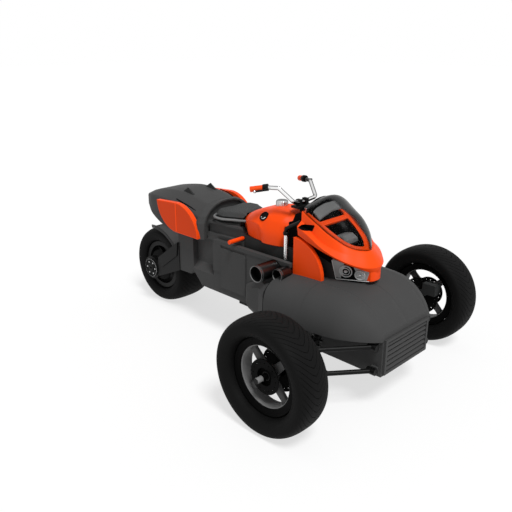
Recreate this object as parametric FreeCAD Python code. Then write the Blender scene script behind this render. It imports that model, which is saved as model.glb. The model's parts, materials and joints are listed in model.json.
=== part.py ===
import FreeCAD, Part
import math
import os

# Three-wheeled car: two steered front wheels, one driven rear wheel, a saddle seat with handlebar.
# Every piece is modelled in millimetres with x forward from the front axle, y to the left and
# z up from the ground, and is moved along x at the end so that the origin is the middle of the
# whole length, on the ground, in the centre plane.

# Stance and tyres
wheelbase = 1710.0
front_track = 1478.0
front_tyre_radius = 313.5
front_tyre_width = 205.0
front_rim_radius = 208.0
front_rim_width = 84.0
rear_tyre_radius = 285.0
rear_tyre_width = 299.0
rear_sidewall = 103.0
rear_rim_width = 236.0
barrel_wall = 30.0
spoke_count = 4
spoke_phase_deg = 45.0

# Fits and gaps
running_gap = 0.06
seat_gap = 0.3
moving_gap = 5.0
flat_limit = 0.001

# Front hub and brakes
stub_radius = 17.0
stub_end_radius = 15.0
stub_end = 100.0
hub_radius = 46.0
hub_inboard = 84.0
hub_outboard = 60.0
disc_thickness = 5.0
inner_disc_radius = 132.0
inner_disc_offset = 72.0
outer_disc_radius = 96.0
outer_disc_offset = 44.0

# Front suspension
kingpin_y = 592.0
upper_arm_z = 382.0
lower_arm_z = 242.0
arm_tube_radius = 13.0
arm_eye_radius = 25.0
arm_eye_height = 26.0
kingpin_pin_radius = 10.0
post_radius = 22.0
arm_front_x = 268.0
arm_rear_x = -150.0
bush_radius = 19.0
bush_length = 52.0
bush_bracket = 14.0
steer_arm_length = 110.0
steer_arm_z = 296.0
steer_arm_thickness = 14.0
tie_rod_radius = 9.0
tie_end_radius = 15.0
rack_radius = 20.0
spring_radius = 34.0
damper_radius = 12.0
spring_x = -28.0
spring_foot_y = 430.0
spring_head_out = 30.0
spring_head_up = 62.0
spring_eye_radius = 20.0
spring_eye_length = 30.0
cross_tube_radius = 10.0

# Nose body, grille and hood
nose_front_x = 304.0
nose_rear_x = -390.0
nose_half_width = 219.0
nose_bottom_z = 203.0
nose_top_z = 416.0
nose_crown_z = 440.0
grille_depth = 14.0
grille_half_width = 208.0
grille_bottom_z = 214.0
grille_frame = 16.0
slat_count = 6
hood_wall = 12.0
hood_lip_z = 412.0
hood_front_x = 306.0
chin_bottom_z = 590.0
chin_top_z = 702.0

# Middle body
tub_half_width = 209.0
tub_front_x = -410.0
tub_rear_gap = 195.0
tub_bottom_z = 272.0
tub_side_bottom_z = 306.0
tub_bottom_half = 157.0
tub_top_z = 640.0
engine_rear_x = -840.0
engine_length = 400.0
engine_half_width = 150.0
engine_bottom_z = 250.0
engine_top_z = 600.0
rail_height = 24.0
rail_width = 26.0
rail_front_x = -350.0
rail_rear_x = -1010.0
panel_rise = 9.0
neck_bevel = 30.0
recess_length = 211.0
recess_half_width = 160.0
recess_low_z = 411.0
recess_step = 44.0

# Seat, tank and tail
seat_length = 310.0
ledge_half_width = 182.0
ledge_height = 46.0
bucket_height = 110.0
bucket_rim = 14.0
pad_lift = 32.0
pad_thickness = 42.0
tank_bed_height = 82.0
fuel_cap_radius = 38.0
fuel_cap_top = 956.0
leaf_front_y = 196.0
leaf_thickness = 36.0
leaf_rear_y = 261.0
tail_half_width = 224.0
tail_rear_half_width = 150.0
tail_overhang = 80.0
tail_gap = 41.0
arch_reach = 610.0
arch_depth = 50.0
arch_flare = 30.0
arch_power = 2.2
arch_centre_z = 700.0
recess_depth = 20.0

# Handlebar
bar_radius = 12.0
bar_bend_radius = 22.0
grip_radius = 17.0
grip_length = 78.0
pod_length = 30.0
pod_radius = 21.0
lever_radius = 6.0
bar_pivot_x = -452.0
bar_pivot_z = 930.0
bar_rake_deg = 25.0
stem_radius = 16.0
head_radius = 27.0
head_low = -130.0
head_high = -24.0
head_foot_height = 166.0
stem_high = 56.0
clamp_post_y = 28.0
frame_tube_radius = 13.0
frame_tube_bend = 45.0

# Rear suspension
arm_plate_y = 209.0
rear_axle_radius = 17.0
axle_bore_radius = 10.0
rack_hole_radius = 4.2
rack_hole_pitch_x = 240.0
rack_hole_pitch_y = 160.0
rack_reach = 230.0
rack_seat_radius = 11.0
rack_seat_z = 876.0
hub_cap_radius = 70.0
fender_gap = 7.0
fender_wall = 22.0
screen_wall = 8.0

front_wheel_y = front_track / 2
front_axle_z = front_tyre_radius
rear_axle_x = -wheelbase
rear_axle_z = rear_tyre_radius
front_end_x = max(nose_front_x + grille_depth, front_tyre_radius)
rear_end_x = rear_axle_x - rear_tyre_radius
rear_rim_radius = rear_tyre_radius - rear_sidewall
rack_centre_x = rear_axle_x + rack_reach
tub_rear_x = rear_axle_x + rear_tyre_radius + tub_rear_gap
tail_rear_x = rear_axle_x - tail_overhang
tail_low_z = 2 * rear_tyre_radius + fender_gap + fender_wall + tail_gap
arch_front_x = rear_axle_x + arch_reach
seat_front_x = arch_front_x + seat_length
ledge_z = tub_top_z + ledge_height
bucket_z = tub_top_z + bucket_height
pad_bottom_z = bucket_z + bucket_rim + pad_lift
tank_bed_z = tub_top_z + tank_bed_height
row_shift_x = -(front_end_x + rear_end_x) / 2


def vec(x, y, z):
    return FreeCAD.Vector(x, y, z)


def box(x0, x1, y0, y1, z0, z1):
    return Part.makeBox(x1 - x0, y1 - y0, z1 - z0, vec(x0, y0, z0))


def rod(start, end, radius):
    # A round bar between two points
    line = vec(*end) - vec(*start)
    return Part.makeCylinder(radius, line.Length, vec(*start), line)


def ring_y(x, z, y0, y1, outer, inner):
    # A round ring with its axis along y
    low, high = min(y0, y1), max(y0, y1)
    body = Part.makeCylinder(outer, high - low, vec(x, low, z), vec(0, 1, 0))
    if inner <= 0:
        return body
    return body.cut(Part.makeCylinder(inner, high - low, vec(x, low, z), vec(0, 1, 0)))


def face_of(points):
    return Part.Face(Part.makePolygon([vec(*p) for p in points] + [vec(*points[0])]))


def side_prism(outline, y0, y1):
    # An outline of (x, z) points given a width along y
    return face_of([(x, y0, z) for x, z in outline]).extrude(vec(0, y1 - y0, 0))


def plan_prism(outline, z0, z1):
    # An outline of (x, y) points given a height
    return face_of([(x, y, z0) for x, y in outline]).extrude(vec(0, 0, z1 - z0))


def front_prism(outline, x0, x1):
    # An outline of (y, z) points given a length along x
    return face_of([(x0, y, z) for y, z in outline]).extrude(vec(x1 - x0, 0, 0))


def mirrored(shape):
    return shape.mirror(vec(0, 0, 0), vec(0, 1, 0))


def fuse(shapes):
    body = shapes[0]
    for shape in shapes[1:]:
        body = body.fuse(shape)
    return body.removeSplitter()


def together(shapes):
    return Part.makeCompound([solid for shape in shapes for solid in shape.Solids])


def flat_faces(corners):
    # One flat face through four corners, or two triangles where they don't lie in one plane
    a, b, c, d = corners
    normal = (b - a).cross(c - a)
    if normal.Length > flat_limit and abs(normal.normalize().dot(d - a)) < flat_limit:
        return [Part.Face(Part.makePolygon([a, b, c, d, a]))]
    if (c - a).Length > (d - b).Length:
        a, b, c, d = b, c, d, a
    halves = [(a, b, c), (a, c, d)]
    return [Part.Face(Part.makePolygon([p, q, r, p])) for p, q, r in halves
            if (q - p).cross(r - p).Length > flat_limit]


def loft(sections):
    # A faceted solid through closed outlines of 3-D points, flat at both ends
    rows = [[vec(*p) for p in section] for section in sections]
    faces = [face_of(sections[0]), face_of(sections[-1])]
    for row, other in zip(rows, rows[1:]):
        for i in range(len(row)):
            faces += flat_faces((row[i - 1], row[i], other[i], other[i - 1]))
    return solid_of(faces)


def solid_of(faces):
    # The closed solid that a set of faces bounds
    shell = Part.makeShell(faces)
    shell.sewShape()
    body = Part.Solid(shell)
    if body.Volume < 0:
        body.reverse()
    return body


def bent_tube(points, bend_radius, radius):
    # A round tube along straight runs joined by tangent arcs
    points = [vec(*p) for p in points]
    edges, start = [], points[0]
    for before, corner, after in zip(points, points[1:], points[2:]):
        to_before = (before - corner).normalize()
        to_after = (after - corner).normalize()
        half_turn = (math.pi - to_before.getAngle(to_after)) / 2
        setback = bend_radius * math.tan(half_turn)
        enter = corner + to_before * setback
        leave = corner + to_after * setback
        middle_way = (to_before + to_after).normalize()
        middle = corner + middle_way * (bend_radius / math.cos(half_turn) - bend_radius)
        edges += [Part.LineSegment(start, enter).toShape(), Part.Arc(enter, middle, leave).toShape()]
        start = leave
    edges.append(Part.LineSegment(start, points[-1]).toShape())
    circle = Part.Wire(Part.makeCircle(radius, points[0], points[1] - points[0]))
    return Part.Wire(edges).makePipeShell([circle], True, False)


def revolve_section(section, x, y, z):
    # A closed outline of (offset along y, radius) points turned about a wheel axis
    face = face_of([(x, y + offset, z + radius) for offset, radius in section])
    return face.revolve(vec(x, y, z), vec(0, 1, 0), 360)


def tyre_section(width, outer, bead_radius, bead_half):
    # Bead, widest point, shoulder and flat crown, closed along the bead seat
    widest = bead_radius + (outer - bead_radius) * 0.62
    shoulder = outer - (outer - bead_radius) * 0.09
    right = [(bead_half, bead_radius), (width / 2, widest), (width * 0.36, shoulder),
             (width * 0.2, outer)]
    return right + [(-offset, radius) for offset, radius in reversed(right)]


def spoke(inner, outer, root, tip, depth):
    # One tapered spoke along +z, centred on the axis plane
    outline = [(-root / 2, inner), (root / 2, inner), (tip / 2, outer), (-tip / 2, outer)]
    return side_prism(outline, -depth / 2, depth / 2)


def spokes(x, y, z, inner, outer, root, tip, depth):
    parts = []
    for index in range(spoke_count):
        arm = spoke(inner, outer, root, tip, depth)
        arm.rotate(vec(0, 0, 0), vec(0, 1, 0), spoke_phase_deg + index * 360 / spoke_count)
        arm.translate(vec(x, y, z))
        parts.append(arm)
    return parts


def brake_disc(x, y, z, radius, hole):
    return ring_y(x, z, y - disc_thickness / 2, y + disc_thickness / 2, radius, hole)


def front_wheel():
    # The right wheel: outboard is -y
    y, z = -front_wheel_y, front_axle_z
    bead = front_rim_radius - 6
    barrel = bead - barrel_wall
    tyre = revolve_section(
        tyre_section(front_tyre_width, front_tyre_radius, bead, front_rim_width / 2), 0, y, z)
    hub = ring_y(0, z, y + hub_inboard, y - hub_outboard, hub_radius, stub_radius + running_gap)
    rim_parts = [ring_y(0, z, y - front_rim_width / 2, y + front_rim_width / 2, bead, barrel), hub]
    rim_parts += spokes(0, y, z, hub_radius - 4, barrel + 6, 58, 40, 22)
    rim = fuse(rim_parts)
    inner_disc = brake_disc(0, y + inner_disc_offset, z, inner_disc_radius, hub_radius)
    outer_disc = brake_disc(0, y - outer_disc_offset, z, outer_disc_radius, hub_radius)
    return tyre, rim, together([inner_disc, outer_disc])


def rear_wheel():
    x, z = rear_axle_x, rear_axle_z
    bead = rear_rim_radius - 6
    barrel = bead - barrel_wall
    tyre = revolve_section(
        tyre_section(rear_tyre_width, rear_tyre_radius, bead, rear_rim_width / 2), x, 0, z)
    hub = ring_y(x, z, -130, 130, 44, rear_axle_radius + running_gap)
    rim_parts = [ring_y(x, z, -rear_rim_width / 2, rear_rim_width / 2, bead, barrel), hub]
    rim_parts += spokes(x, -60, z, 40, barrel + 6, 58, 40, 30)
    disc = brake_disc(x, -126, z, barrel - 34, 44)
    return tyre, fuse(rim_parts), disc


def knuckle():
    # Upright, kingpin pins, stub axle and steering arm of the right front corner
    y, z = -kingpin_y, front_axle_z
    low = lower_arm_z + arm_eye_height / 2 + seat_gap
    high = upper_arm_z - arm_eye_height / 2 - seat_gap
    post = Part.makeCylinder(post_radius, high - low, vec(0, y, low))
    pin_low = lower_arm_z - arm_eye_height / 2 - 6
    pin_high = upper_arm_z + arm_eye_height / 2 + 6
    pin = Part.makeCylinder(kingpin_pin_radius, pin_high - pin_low, vec(0, y, pin_low))
    hub_face = -front_wheel_y - hub_outboard
    stub = ring_y(0, z, y, hub_face, stub_radius, 0)
    free_end = ring_y(0, z, hub_face, -front_wheel_y - stub_end, stub_end_radius, 0)
    flange = ring_y(0, z, y - post_radius + 4, -front_wheel_y + hub_inboard + moving_gap, 40, 0)
    pad_z = steer_arm_z - steer_arm_thickness
    arm = box(-steer_arm_length, 0, y - 14, y + 14, pad_z, steer_arm_z)
    eye = Part.makeCylinder(18, steer_arm_thickness, vec(-steer_arm_length, y, pad_z))
    return fuse([post, pin, stub, free_end, flange, arm, eye])


def caliper():
    # Brake caliper of the right front corner, straddling the inboard disc
    y = -front_wheel_y + inner_disc_offset
    half = disc_thickness / 2 + moving_gap
    body = box(34, 122, y - half - 12, y + half + 42, front_axle_z + 38, front_axle_z + 108)
    body = body.cut(ring_y(0, front_axle_z, y - half, y + half, inner_disc_radius + moving_gap, 0))
    clear = ring_y(0, front_axle_z, y - half - 20, y + half + 60, hub_radius + moving_gap + 20, 0)
    body = body.cut(clear)
    bracket = box(20, 60, y + half + 20, y + half + 42, front_axle_z + 26, front_axle_z + 60)
    return fuse([body, bracket]).cut(knuckle())


def arm_leg_x(x, y):
    # Where the leg whose bush is at x crosses a given distance from the centre plane
    bush_y = nose_half_width + bush_bracket + bush_radius
    return x * (kingpin_y - y) / (kingpin_y - bush_y)


def control_arm(z):
    # One wishbone of the right side: two tubes from the body bushes to the kingpin eye
    eye_y = -kingpin_y
    bush_y = -(nose_half_width + bush_bracket + bush_radius)
    bottom = z - arm_eye_height / 2
    parts = [Part.makeCylinder(arm_eye_radius, arm_eye_height, vec(0, eye_y, bottom))]
    for x in (arm_front_x, arm_rear_x):
        parts.append(rod((x, bush_y, z), (0, eye_y, z), arm_tube_radius))
        start = x - bush_length / 2
        parts.append(rod((start, bush_y, z), (start + bush_length, bush_y, z), bush_radius))
    if z == lower_arm_z:
        rear, front = (arm_leg_x(x, spring_foot_y) for x in (arm_rear_x, arm_front_x))
        parts.append(rod((rear, -spring_foot_y, z), (front, -spring_foot_y, z), cross_tube_radius))
    body = fuse(parts)
    bore = Part.makeCylinder(kingpin_pin_radius + running_gap, arm_eye_height, vec(0, eye_y, bottom))
    room = Part.makeCylinder(post_radius + moving_gap, 60, vec(0, eye_y, bottom + arm_eye_height))
    under = Part.makeCylinder(post_radius + moving_gap, 60, vec(0, eye_y, bottom - 60))
    return body.cut(bore).cut(room).cut(under)


def spring_axis():
    # Lower eye, upper seat and unit direction of the right spring
    foot = vec(spring_x, -spring_foot_y, lower_arm_z)
    head = vec(spring_x, -(nose_half_width + spring_head_out), nose_top_z + spring_head_up)
    return foot, head, (head - foot).normalize()


def spring_unit():
    # Coil spring and damper of the right side, from a tube of the lower wishbone to the tower
    foot, head, way = spring_axis()
    eye_x = spring_eye_length / 2
    eye = rod((foot.x - eye_x, foot.y, foot.z), (foot.x + eye_x, foot.y, foot.z), spring_eye_radius)
    low, high = foot + way * 70, head - way * 14
    parts = [rod((foot.x, foot.y, foot.z), (head.x, head.y, head.z), damper_radius), eye,
             rod((low.x, low.y, low.z), (high.x, high.y, high.z), spring_radius)]
    bore = rod((foot.x - 50, foot.y, foot.z), (foot.x + 50, foot.y, foot.z),
               cross_tube_radius + seat_gap)
    return fuse(parts).cut(bore)


def spring_tower():
    # Bracket on top of the nose body that takes the right spring's upper end
    foot, head, way = spring_axis()
    across = vec(0, way.z, -way.y) * spring_radius
    outer, inner = head - across, head + across
    top = outer.z + 12
    outline = [(outer.y, outer.z), (inner.y, inner.z), (-nose_half_width, nose_crown_z),
               (-nose_half_width + 40, nose_crown_z), (inner.y, top), (outer.y + 6, top)]
    block = front_prism(outline, spring_x - spring_radius, spring_x + spring_radius)
    return block.cut(hood())


def steering_rack():
    # Rack bar with both tie rods, whose ends lie over the steering arm pads
    z = steer_arm_z + seat_gap + tie_end_radius
    x = -steer_arm_length
    bar = rod((x, -kingpin_y, z), (x, kingpin_y, z), tie_rod_radius)
    parts = [bar]
    for side in (-1, 1):
        bottom = vec(x, side * kingpin_y, steer_arm_z + seat_gap)
        parts.append(Part.makeCylinder(tie_end_radius, 2 * tie_end_radius, bottom))
    return fuse(parts)


def rack_housing():
    z = steer_arm_z + seat_gap + tie_end_radius
    reach = nose_half_width + 60
    shell = rod((-steer_arm_length, -reach, z), (-steer_arm_length, reach, z), rack_radius)
    return shell.cut(rod((-steer_arm_length, -reach, z), (-steer_arm_length, reach, z),
                         tie_rod_radius + 0.3))


def nose_body():
    outline = [(nose_rear_x, tub_bottom_z), (nose_rear_x + 110, nose_bottom_z),
               (nose_front_x, nose_bottom_z), (nose_front_x, nose_top_z),
               (hood_front_x - 40, nose_crown_z), (nose_rear_x, nose_crown_z)]
    body = side_prism(outline, -nose_half_width, nose_half_width)
    z = steer_arm_z + seat_gap + tie_end_radius
    x = -steer_arm_length
    bore = rod((x, -nose_half_width, z), (x, nose_half_width, z), rack_radius)
    for side in (-1, 1):
        for bx in (arm_front_x, arm_rear_x):
            for bz in (upper_arm_z, lower_arm_z):
                y = side * (nose_half_width + bush_bracket / 2)
                body = body.fuse(box(bx - 20, bx + 20, y - bush_bracket / 2, y + bush_bracket / 2,
                                     bz - 17, bz + 17))
    return body.removeSplitter().cut(bore).cut(hood())


def grille():
    # Raised frame with tilted slats across the nose
    x0, x1 = nose_front_x, nose_front_x + grille_depth
    half, low, high = grille_half_width, grille_bottom_z, nose_top_z
    frame = box(x0, x1, -half, half, low, high)
    inner = half - grille_frame
    frame = frame.cut(box(x0, x1, -inner, inner, low + grille_frame, high - grille_frame))
    pitch = (high - low - 2 * grille_frame) / slat_count
    slats = []
    for index in range(slat_count):
        z = low + grille_frame + (index + 0.5) * pitch
        outline = [(x0, z + 6), (x0 + 2, z + 8), (x1 - 1, z - 4), (x1 - 3, z - 8), (x0, z - 2)]
        slats.append(side_prism(outline, -inner, inner))
    return fuse([frame] + slats).cut(hood_skin(0))


def hood_section(x, half, crown, lip, flat, power):
    # Flat top, superellipse shoulders, straight lower edge
    steps = [math.radians(a) for a in (0, 14, 30, 48, 68, 90)]
    side = []
    for a in steps:
        u, v = math.cos(a) ** (2 / power), math.sin(a) ** (2 / power)
        side.append((x, flat + (half - flat) * u, lip + (crown - lip) * v))
    return side + [(px, -py, pz) for px, py, pz in reversed(side)]


hood_stations = [
    (306, 236, 450, 200, 2.0), (257, 284, 512, 200, 2.0), (183, 334, 566, 202, 2.0),
    (88, 378, 597, 204, 2.0), (-53, 399, 604, 202, 2.0), (-220, 396, 602, 190, 2.2),
    (-397, 386, 590, 160, 3.0)]


def hood_skin(inset):
    sections = []
    for x, half, crown, flat, power in hood_stations:
        at = x - inset if x == hood_front_x else x
        low = hood_lip_z - (inset and 1)
        sections.append(hood_section(at, half - inset, crown - inset, low, flat - inset, power))
    return loft(sections)


def hood():
    return hood_skin(0).cut(hood_skin(hood_wall))


def tub():
    # Middle body with chamfered belly
    half, low = tub_half_width, tub_bottom_half
    outline = [(-low, tub_bottom_z), (low, tub_bottom_z), (half, tub_side_bottom_z),
               (half, tub_top_z), (-half, tub_top_z), (-half, tub_side_bottom_z)]
    body = front_prism(outline, tub_rear_x, tub_front_x)
    corner = [(tub_rear_x - 1, tub_bottom_z - 1), (tub_rear_x + 110, tub_bottom_z - 1),
              (tub_rear_x + 80, tub_side_bottom_z + 10), (tub_rear_x - 1, 400)]
    body = body.cut(side_prism(corner, -half, half)).cut(engine())
    ledge = recess_low_z + recess_step
    recess = [(-half, recess_low_z), (-recess_half_width, ledge), (-recess_half_width, tub_top_z),
              (-half, tub_top_z)]
    right = front_prism(recess, tub_rear_x, tub_rear_x + recess_length)
    return body.cut(right).cut(mirrored(right))


def side_rail():
    y = tub_half_width
    rail = box(rail_rear_x, rail_front_x, -y - 5, -y + rail_width, tub_top_z, tub_top_z + rail_height)
    big, small = side_can()
    return rail.cut(big).cut(small)


def side_panel():
    # Raised panel with a narrow step behind it, right side
    y = -tub_half_width
    outer = [(-942, 352), (-715, 352), (-715, 604), (-726, 622), (-942, 622)]
    step = [(-1019, 451), (-942, 451), (-942, 640), (-1019, 640)]
    return fuse([side_prism(outer, y - panel_rise, y), side_prism(step, y - panel_rise / 2, y)])


def neck_fairing():
    # Flared piece between the middle body and the hood's rear edge, right side
    y = -tub_half_width
    sections = []
    for x, reach, low, high in ((-412, 372, 300, 545), (-506, 314, 300, 533),
                                (-657, 262, 306, 470), (-712, 217, 330, 440)):
        out = -reach
        bevel = min(neck_bevel, 0.8 * (reach - tub_half_width))
        sections.append([(x, y, low), (x, out + bevel / 2, low), (x, out, low + neck_bevel),
                         (x, out, high - neck_bevel), (x, out + bevel, high), (x, y, high)])
    return loft(sections)


def front_leaf():
    # Quarter-oval panel that stands on the hood, right side
    rear, front, top = -343.0, -113.0, 834.0
    base = hood_lip_z + 150
    low = 623.0
    points = [(rear, base), (front, base)]
    for a in range(0, 91, 9):
        angle = math.radians(a)
        points.append((rear + (front - rear) * math.cos(angle), low + (top - low) * math.sin(angle)))
    plate = side_prism(points, -leaf_front_y, -leaf_front_y + leaf_thickness)
    return plate.cut(hood_skin(0)).cut(cowl())


def rear_leaf():
    # Leaf-shaped side panel of the tail, right side
    tip_x, ridge_x, rear_x = arch_front_x, rear_axle_x + 375, rear_axle_x + 169
    low, high = tail_low_z + 7, tail_low_z + 212
    points = []
    for a in range(0, 91, 9):
        angle = math.radians(a)
        points.append((ridge_x + (tip_x - ridge_x) * math.cos(angle),
                       low + (high - low) * math.sin(angle)))
    for a in range(0, 91, 9):
        angle = math.radians(a)
        points.append((ridge_x - (ridge_x - rear_x) * math.cos(angle),
                       high - (high - low) * math.sin(angle)))
    return side_prism(points, -leaf_rear_y, -tail_half_width).cut(arch())


def tail():
    # Deck and flanks behind the seat, tapering to a blunt rear end
    half, rear, low_z = tail_half_width, tail_rear_half_width, tail_low_z
    sections = []
    for x, wide, low, edge, crown in (
            (arch_front_x - arch_depth, 212, low_z, low_z + 160, low_z + 226),
            (rear_axle_x + 375, half, low_z, low_z + 208, low_z + 258),
            (rear_axle_x + 215, half, low_z, low_z + 210, low_z + 260),
            (rear_axle_x + 30, 196, low_z + 50, low_z + 202, low_z + 226),
            (tail_rear_x, rear, low_z + 95, low_z + 182, low_z + 196)):
        sections.append([(x, -wide, low), (x, wide, low), (x, wide, edge), (x, wide * 0.55, crown),
                         (x, -wide * 0.55, crown), (x, -wide, edge)])
    deck = loft(sections)
    for sx in (-1, 1):
        for sy in (-1, 1):
            x = rack_centre_x + sx * rack_hole_pitch_x / 2
            y = sy * rack_hole_pitch_y / 2
            seat = Part.makeCylinder(rack_seat_radius, 60, vec(x, y, rack_seat_z))
            hole = Part.makeCylinder(rack_hole_radius, 60, vec(x, y, rack_seat_z - 50))
            deck = deck.cut(seat).cut(hole)
    return deck


def arch_outline(x, half, crown):
    # One hoop outline at x, with straight feet that stand on the middle body
    points = [(x, half, tub_top_z)]
    for a in range(0, 181, 15):
        u, v = abs(math.cos(math.radians(a))), math.sin(math.radians(a))
        reach = (u ** arch_power + v ** arch_power) ** (-1 / arch_power)
        side = 1 if a <= 90 else -1
        points.append((x, side * half * reach * u, arch_centre_z + (crown - arch_centre_z) * reach * v))
    return points + [(x, -half, tub_top_z)]


def arch():
    # Rounded hoop that frames the seat, flared towards the tail, with the seat back's recess
    front = arch_front_x
    outer = loft([arch_outline(front, 216, 876), arch_outline(front - arch_flare, 246, 872),
                  arch_outline(front - arch_depth, 246, 878)])
    inner = loft([arch_outline(front + 1, 202, 866), arch_outline(front - recess_depth, 202, 866)])
    return outer.cut(inner)


def seat_base():
    # Stepped bucket under the pad
    rear, front, half = arch_front_x, seat_front_x, ledge_half_width
    rim_z = bucket_z + bucket_rim
    lower = plan_prism([(rear, -half), (front, -half + 20), (front, half - 20), (rear, half)],
                       tub_top_z, ledge_z)
    wall = plan_prism([(rear, -160), (front - 10, -130), (front - 10, 130), (rear, 160)],
                      ledge_z, bucket_z)
    upper = plan_prism([(rear, -176), (front, -140), (front, 140), (rear, 176)], bucket_z, rim_z)
    stem = plan_prism([(rear + 20, -120), (front - 40, -90), (front - 40, 90), (rear + 20, 120)],
                      rim_z, pad_bottom_z)
    return fuse([lower, wall, upper, stem]).cut(tank()).cut(tank_bed())


def seat_pad():
    low, high = pad_bottom_z, pad_bottom_z + pad_thickness
    rear, front = arch_front_x + 25, seat_front_x - 16
    right = [(rear, -130), (rear + 35, -172), (rear + 110, -178), (front - 24, -112), (front, -70)]
    outline = right + [(x, -y) for x, y in reversed(right)]
    middle = (rear + front) / 2
    inner = [(middle + (x - middle) * 0.97, y * 0.84) for x, y in outline]
    sections = [[(x, y, low) for x, y in inner], [(x, y, low + 18) for x, y in outline],
                [(x, y, high) for x, y in inner]]
    return loft(sections).cut(tank())


def tank():
    # Facetted tank, cut away at its lower front
    sections = []
    for x, wide, low, high in ((-905, 70, 742, 800), (-860, 122, 730, 836), (-790, 152, 722, 872),
                               (-680, 174, 722, 912), (-585, 181, 722, 932), (-500, 166, 722, 926),
                               (-425, 118, 724, 884)):
        tall = high - low
        side = [(wide * 0.97, low), (wide, low + tall * 0.38), (wide * 0.82, low + tall * 0.74),
                (wide * 0.42, high - tall * 0.04)]
        outline = side + [(-y, z) for y, z in reversed(side)]
        sections.append([(x, y, z) for y, z in outline])
    body = loft(sections)
    body = body.cut(box(-462, -400, -200, 200, 700, 846))
    room = rod(on_steering_axis(head_low), on_steering_axis(stem_high), head_radius + moving_gap)
    return body.cut(room)


def tank_bed():
    # Dark recessed body under the tank, and the place of the steering head
    lower = box(seat_front_x, -350, -150, 150, tub_top_z, tank_bed_z)
    return lower.cut(steering_head())


def engine():
    # One plain block for the engine and gearbox, whose underside shows below the belly
    rear, half = engine_rear_x, engine_half_width
    return box(rear, rear + engine_length, -half, half, engine_bottom_z, engine_top_z)


def fuel_cap():
    return Part.makeCylinder(fuel_cap_radius, fuel_cap_top - 900, vec(-612, 0, 900)).cut(tank())


def filler_port():
    centre, out = vec(-672, -104, 858), vec(-0.15, -0.62, 0.77)
    return Part.makeCylinder(28, 30, centre, out).cut(tank())


def foot_peg():
    x, z = seat_front_x - 6, ledge_z + 20
    bar = fuse([rod((x, -158, z), (x, -272, z - 2), 13), rod((x, -120, z + 1), (x, -158, z), 9)])
    return bar.cut(seat_base()).cut(tank_bed())


def side_can():
    # Large and small canister on one bracket, right side
    big = ring_y(-470, 612, -tub_half_width, -370, 50, 0)
    small = ring_y(-371, 612, -tub_half_width, -300, 38, 0)
    return big, small.cut(hood_skin(0))


cowl_rails = {
    # Edge lines from the rear end of the right wing to the nose: (x, half width, height)
    "rim_inner": [(-320, 120, 969), (-195, 104, 904), (-128, 91, 865), (-78, 72, 834),
                  (-42, 49, 815), (-22, 27, 807), (-8, 11, 805), (-3, 0, 805)],
    "ridge": [(-320, 156, 971), (-226, 168, 930), (-155, 158, 885), (-84, 141, 848),
              (-35, 118, 820), (6, 78, 799), (36, 36, 790), (48, 0, 788)],
    "shoulder": [(-320, 157, 917), (-226, 170, 863), (-154, 168, 823), (-80, 157, 802),
                 (-24, 136, 786), (24, 95, 766), (62, 50, 754), (78, 0, 744)],
    "crease": [(-320, 194, 890), (-226, 206, 858), (-147, 201, 812), (-68, 188, 776),
               (-3, 163, 751), (51, 117, 727), (91, 65, 716), (110, 0, 715)],
    "lower": [(-320, 196, 836), (-227, 208, 812), (-147, 202, 786), (-69, 187, 761),
              (-6, 159, 736), (44, 111, 711), (80, 60, 688), (98, 0, 669)],
    "inner_low": [(-320, 140, 850), (-220, 150, 822), (-140, 146, 790), (-62, 134, 762),
                  (-10, 108, 738), (28, 72, 716), (48, 34, 700), (54, 0, 696)]}

screen_stations = [
    # Half width, foot and rise of the screen's arch from its open rear end to the nose
    (-320, 148, 965, 48), (-270, 158, 944, 96), (-226, 159, 925, 119), (-155, 149, 880, 124),
    (-84, 132, 843, 120), (-35, 109, 815, 100), (6, 69, 794, 76), (34, 26, 785, 46)]


def edge_line(points):
    # A smooth line through a rail's points and their mirror images
    right = [vec(x, -y, z) for x, y, z in points]
    left = [vec(x, y, z) for x, y, z in reversed(points[:-1])]
    curve = Part.BSplineCurve()
    curve.interpolate(right + left)
    return curve.toShape()


def cowl():
    # Horseshoe nose: ruled faces between neighbouring edge lines, closed flat at both wing ends,
    # with the crossbar between the wings and the chin that stands on the hood
    names = list(cowl_rails)
    lines = [edge_line(cowl_rails[name]) for name in names]
    faces = [Part.makeRuledSurface(a, b) for a, b in zip(lines, lines[1:] + lines[:1])]
    for side in (-1, 1):
        faces.append(face_of([(x, side * y, z) for x, y, z in (cowl_rails[n][0] for n in names)]))
    crossbar = side_prism([(-196, 904), (-217, 923), (-217, 908), (-203, 892)], -124, 124)
    chin = plan_prism([(46, -50), (86, -53), (97, -26), (100, 0), (97, 26), (86, 53), (46, 50)],
                      chin_bottom_z, chin_top_z)
    return fuse([solid_of(faces), crossbar, chin]).cut(hood_skin(0))


def cowl_base():
    # Dark carrier under the nose that stands on the hood
    outline = [(60, -26), (72, 0), (60, 26), (-40, 98), (-110, 122), (-300, 138), (-300, -138),
               (-110, -122), (-40, -98)]
    block = plan_prism(outline, 570, 760)
    slope = side_prism([(-301, 762), (-301, 790), (100, 790), (100, 640), (60, 640)], -200, 200)
    lamp = headlight()
    return block.cut(slope).cut(hood_skin(0)).cut(cowl()).cut(lamp).cut(mirrored(lamp))


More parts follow.
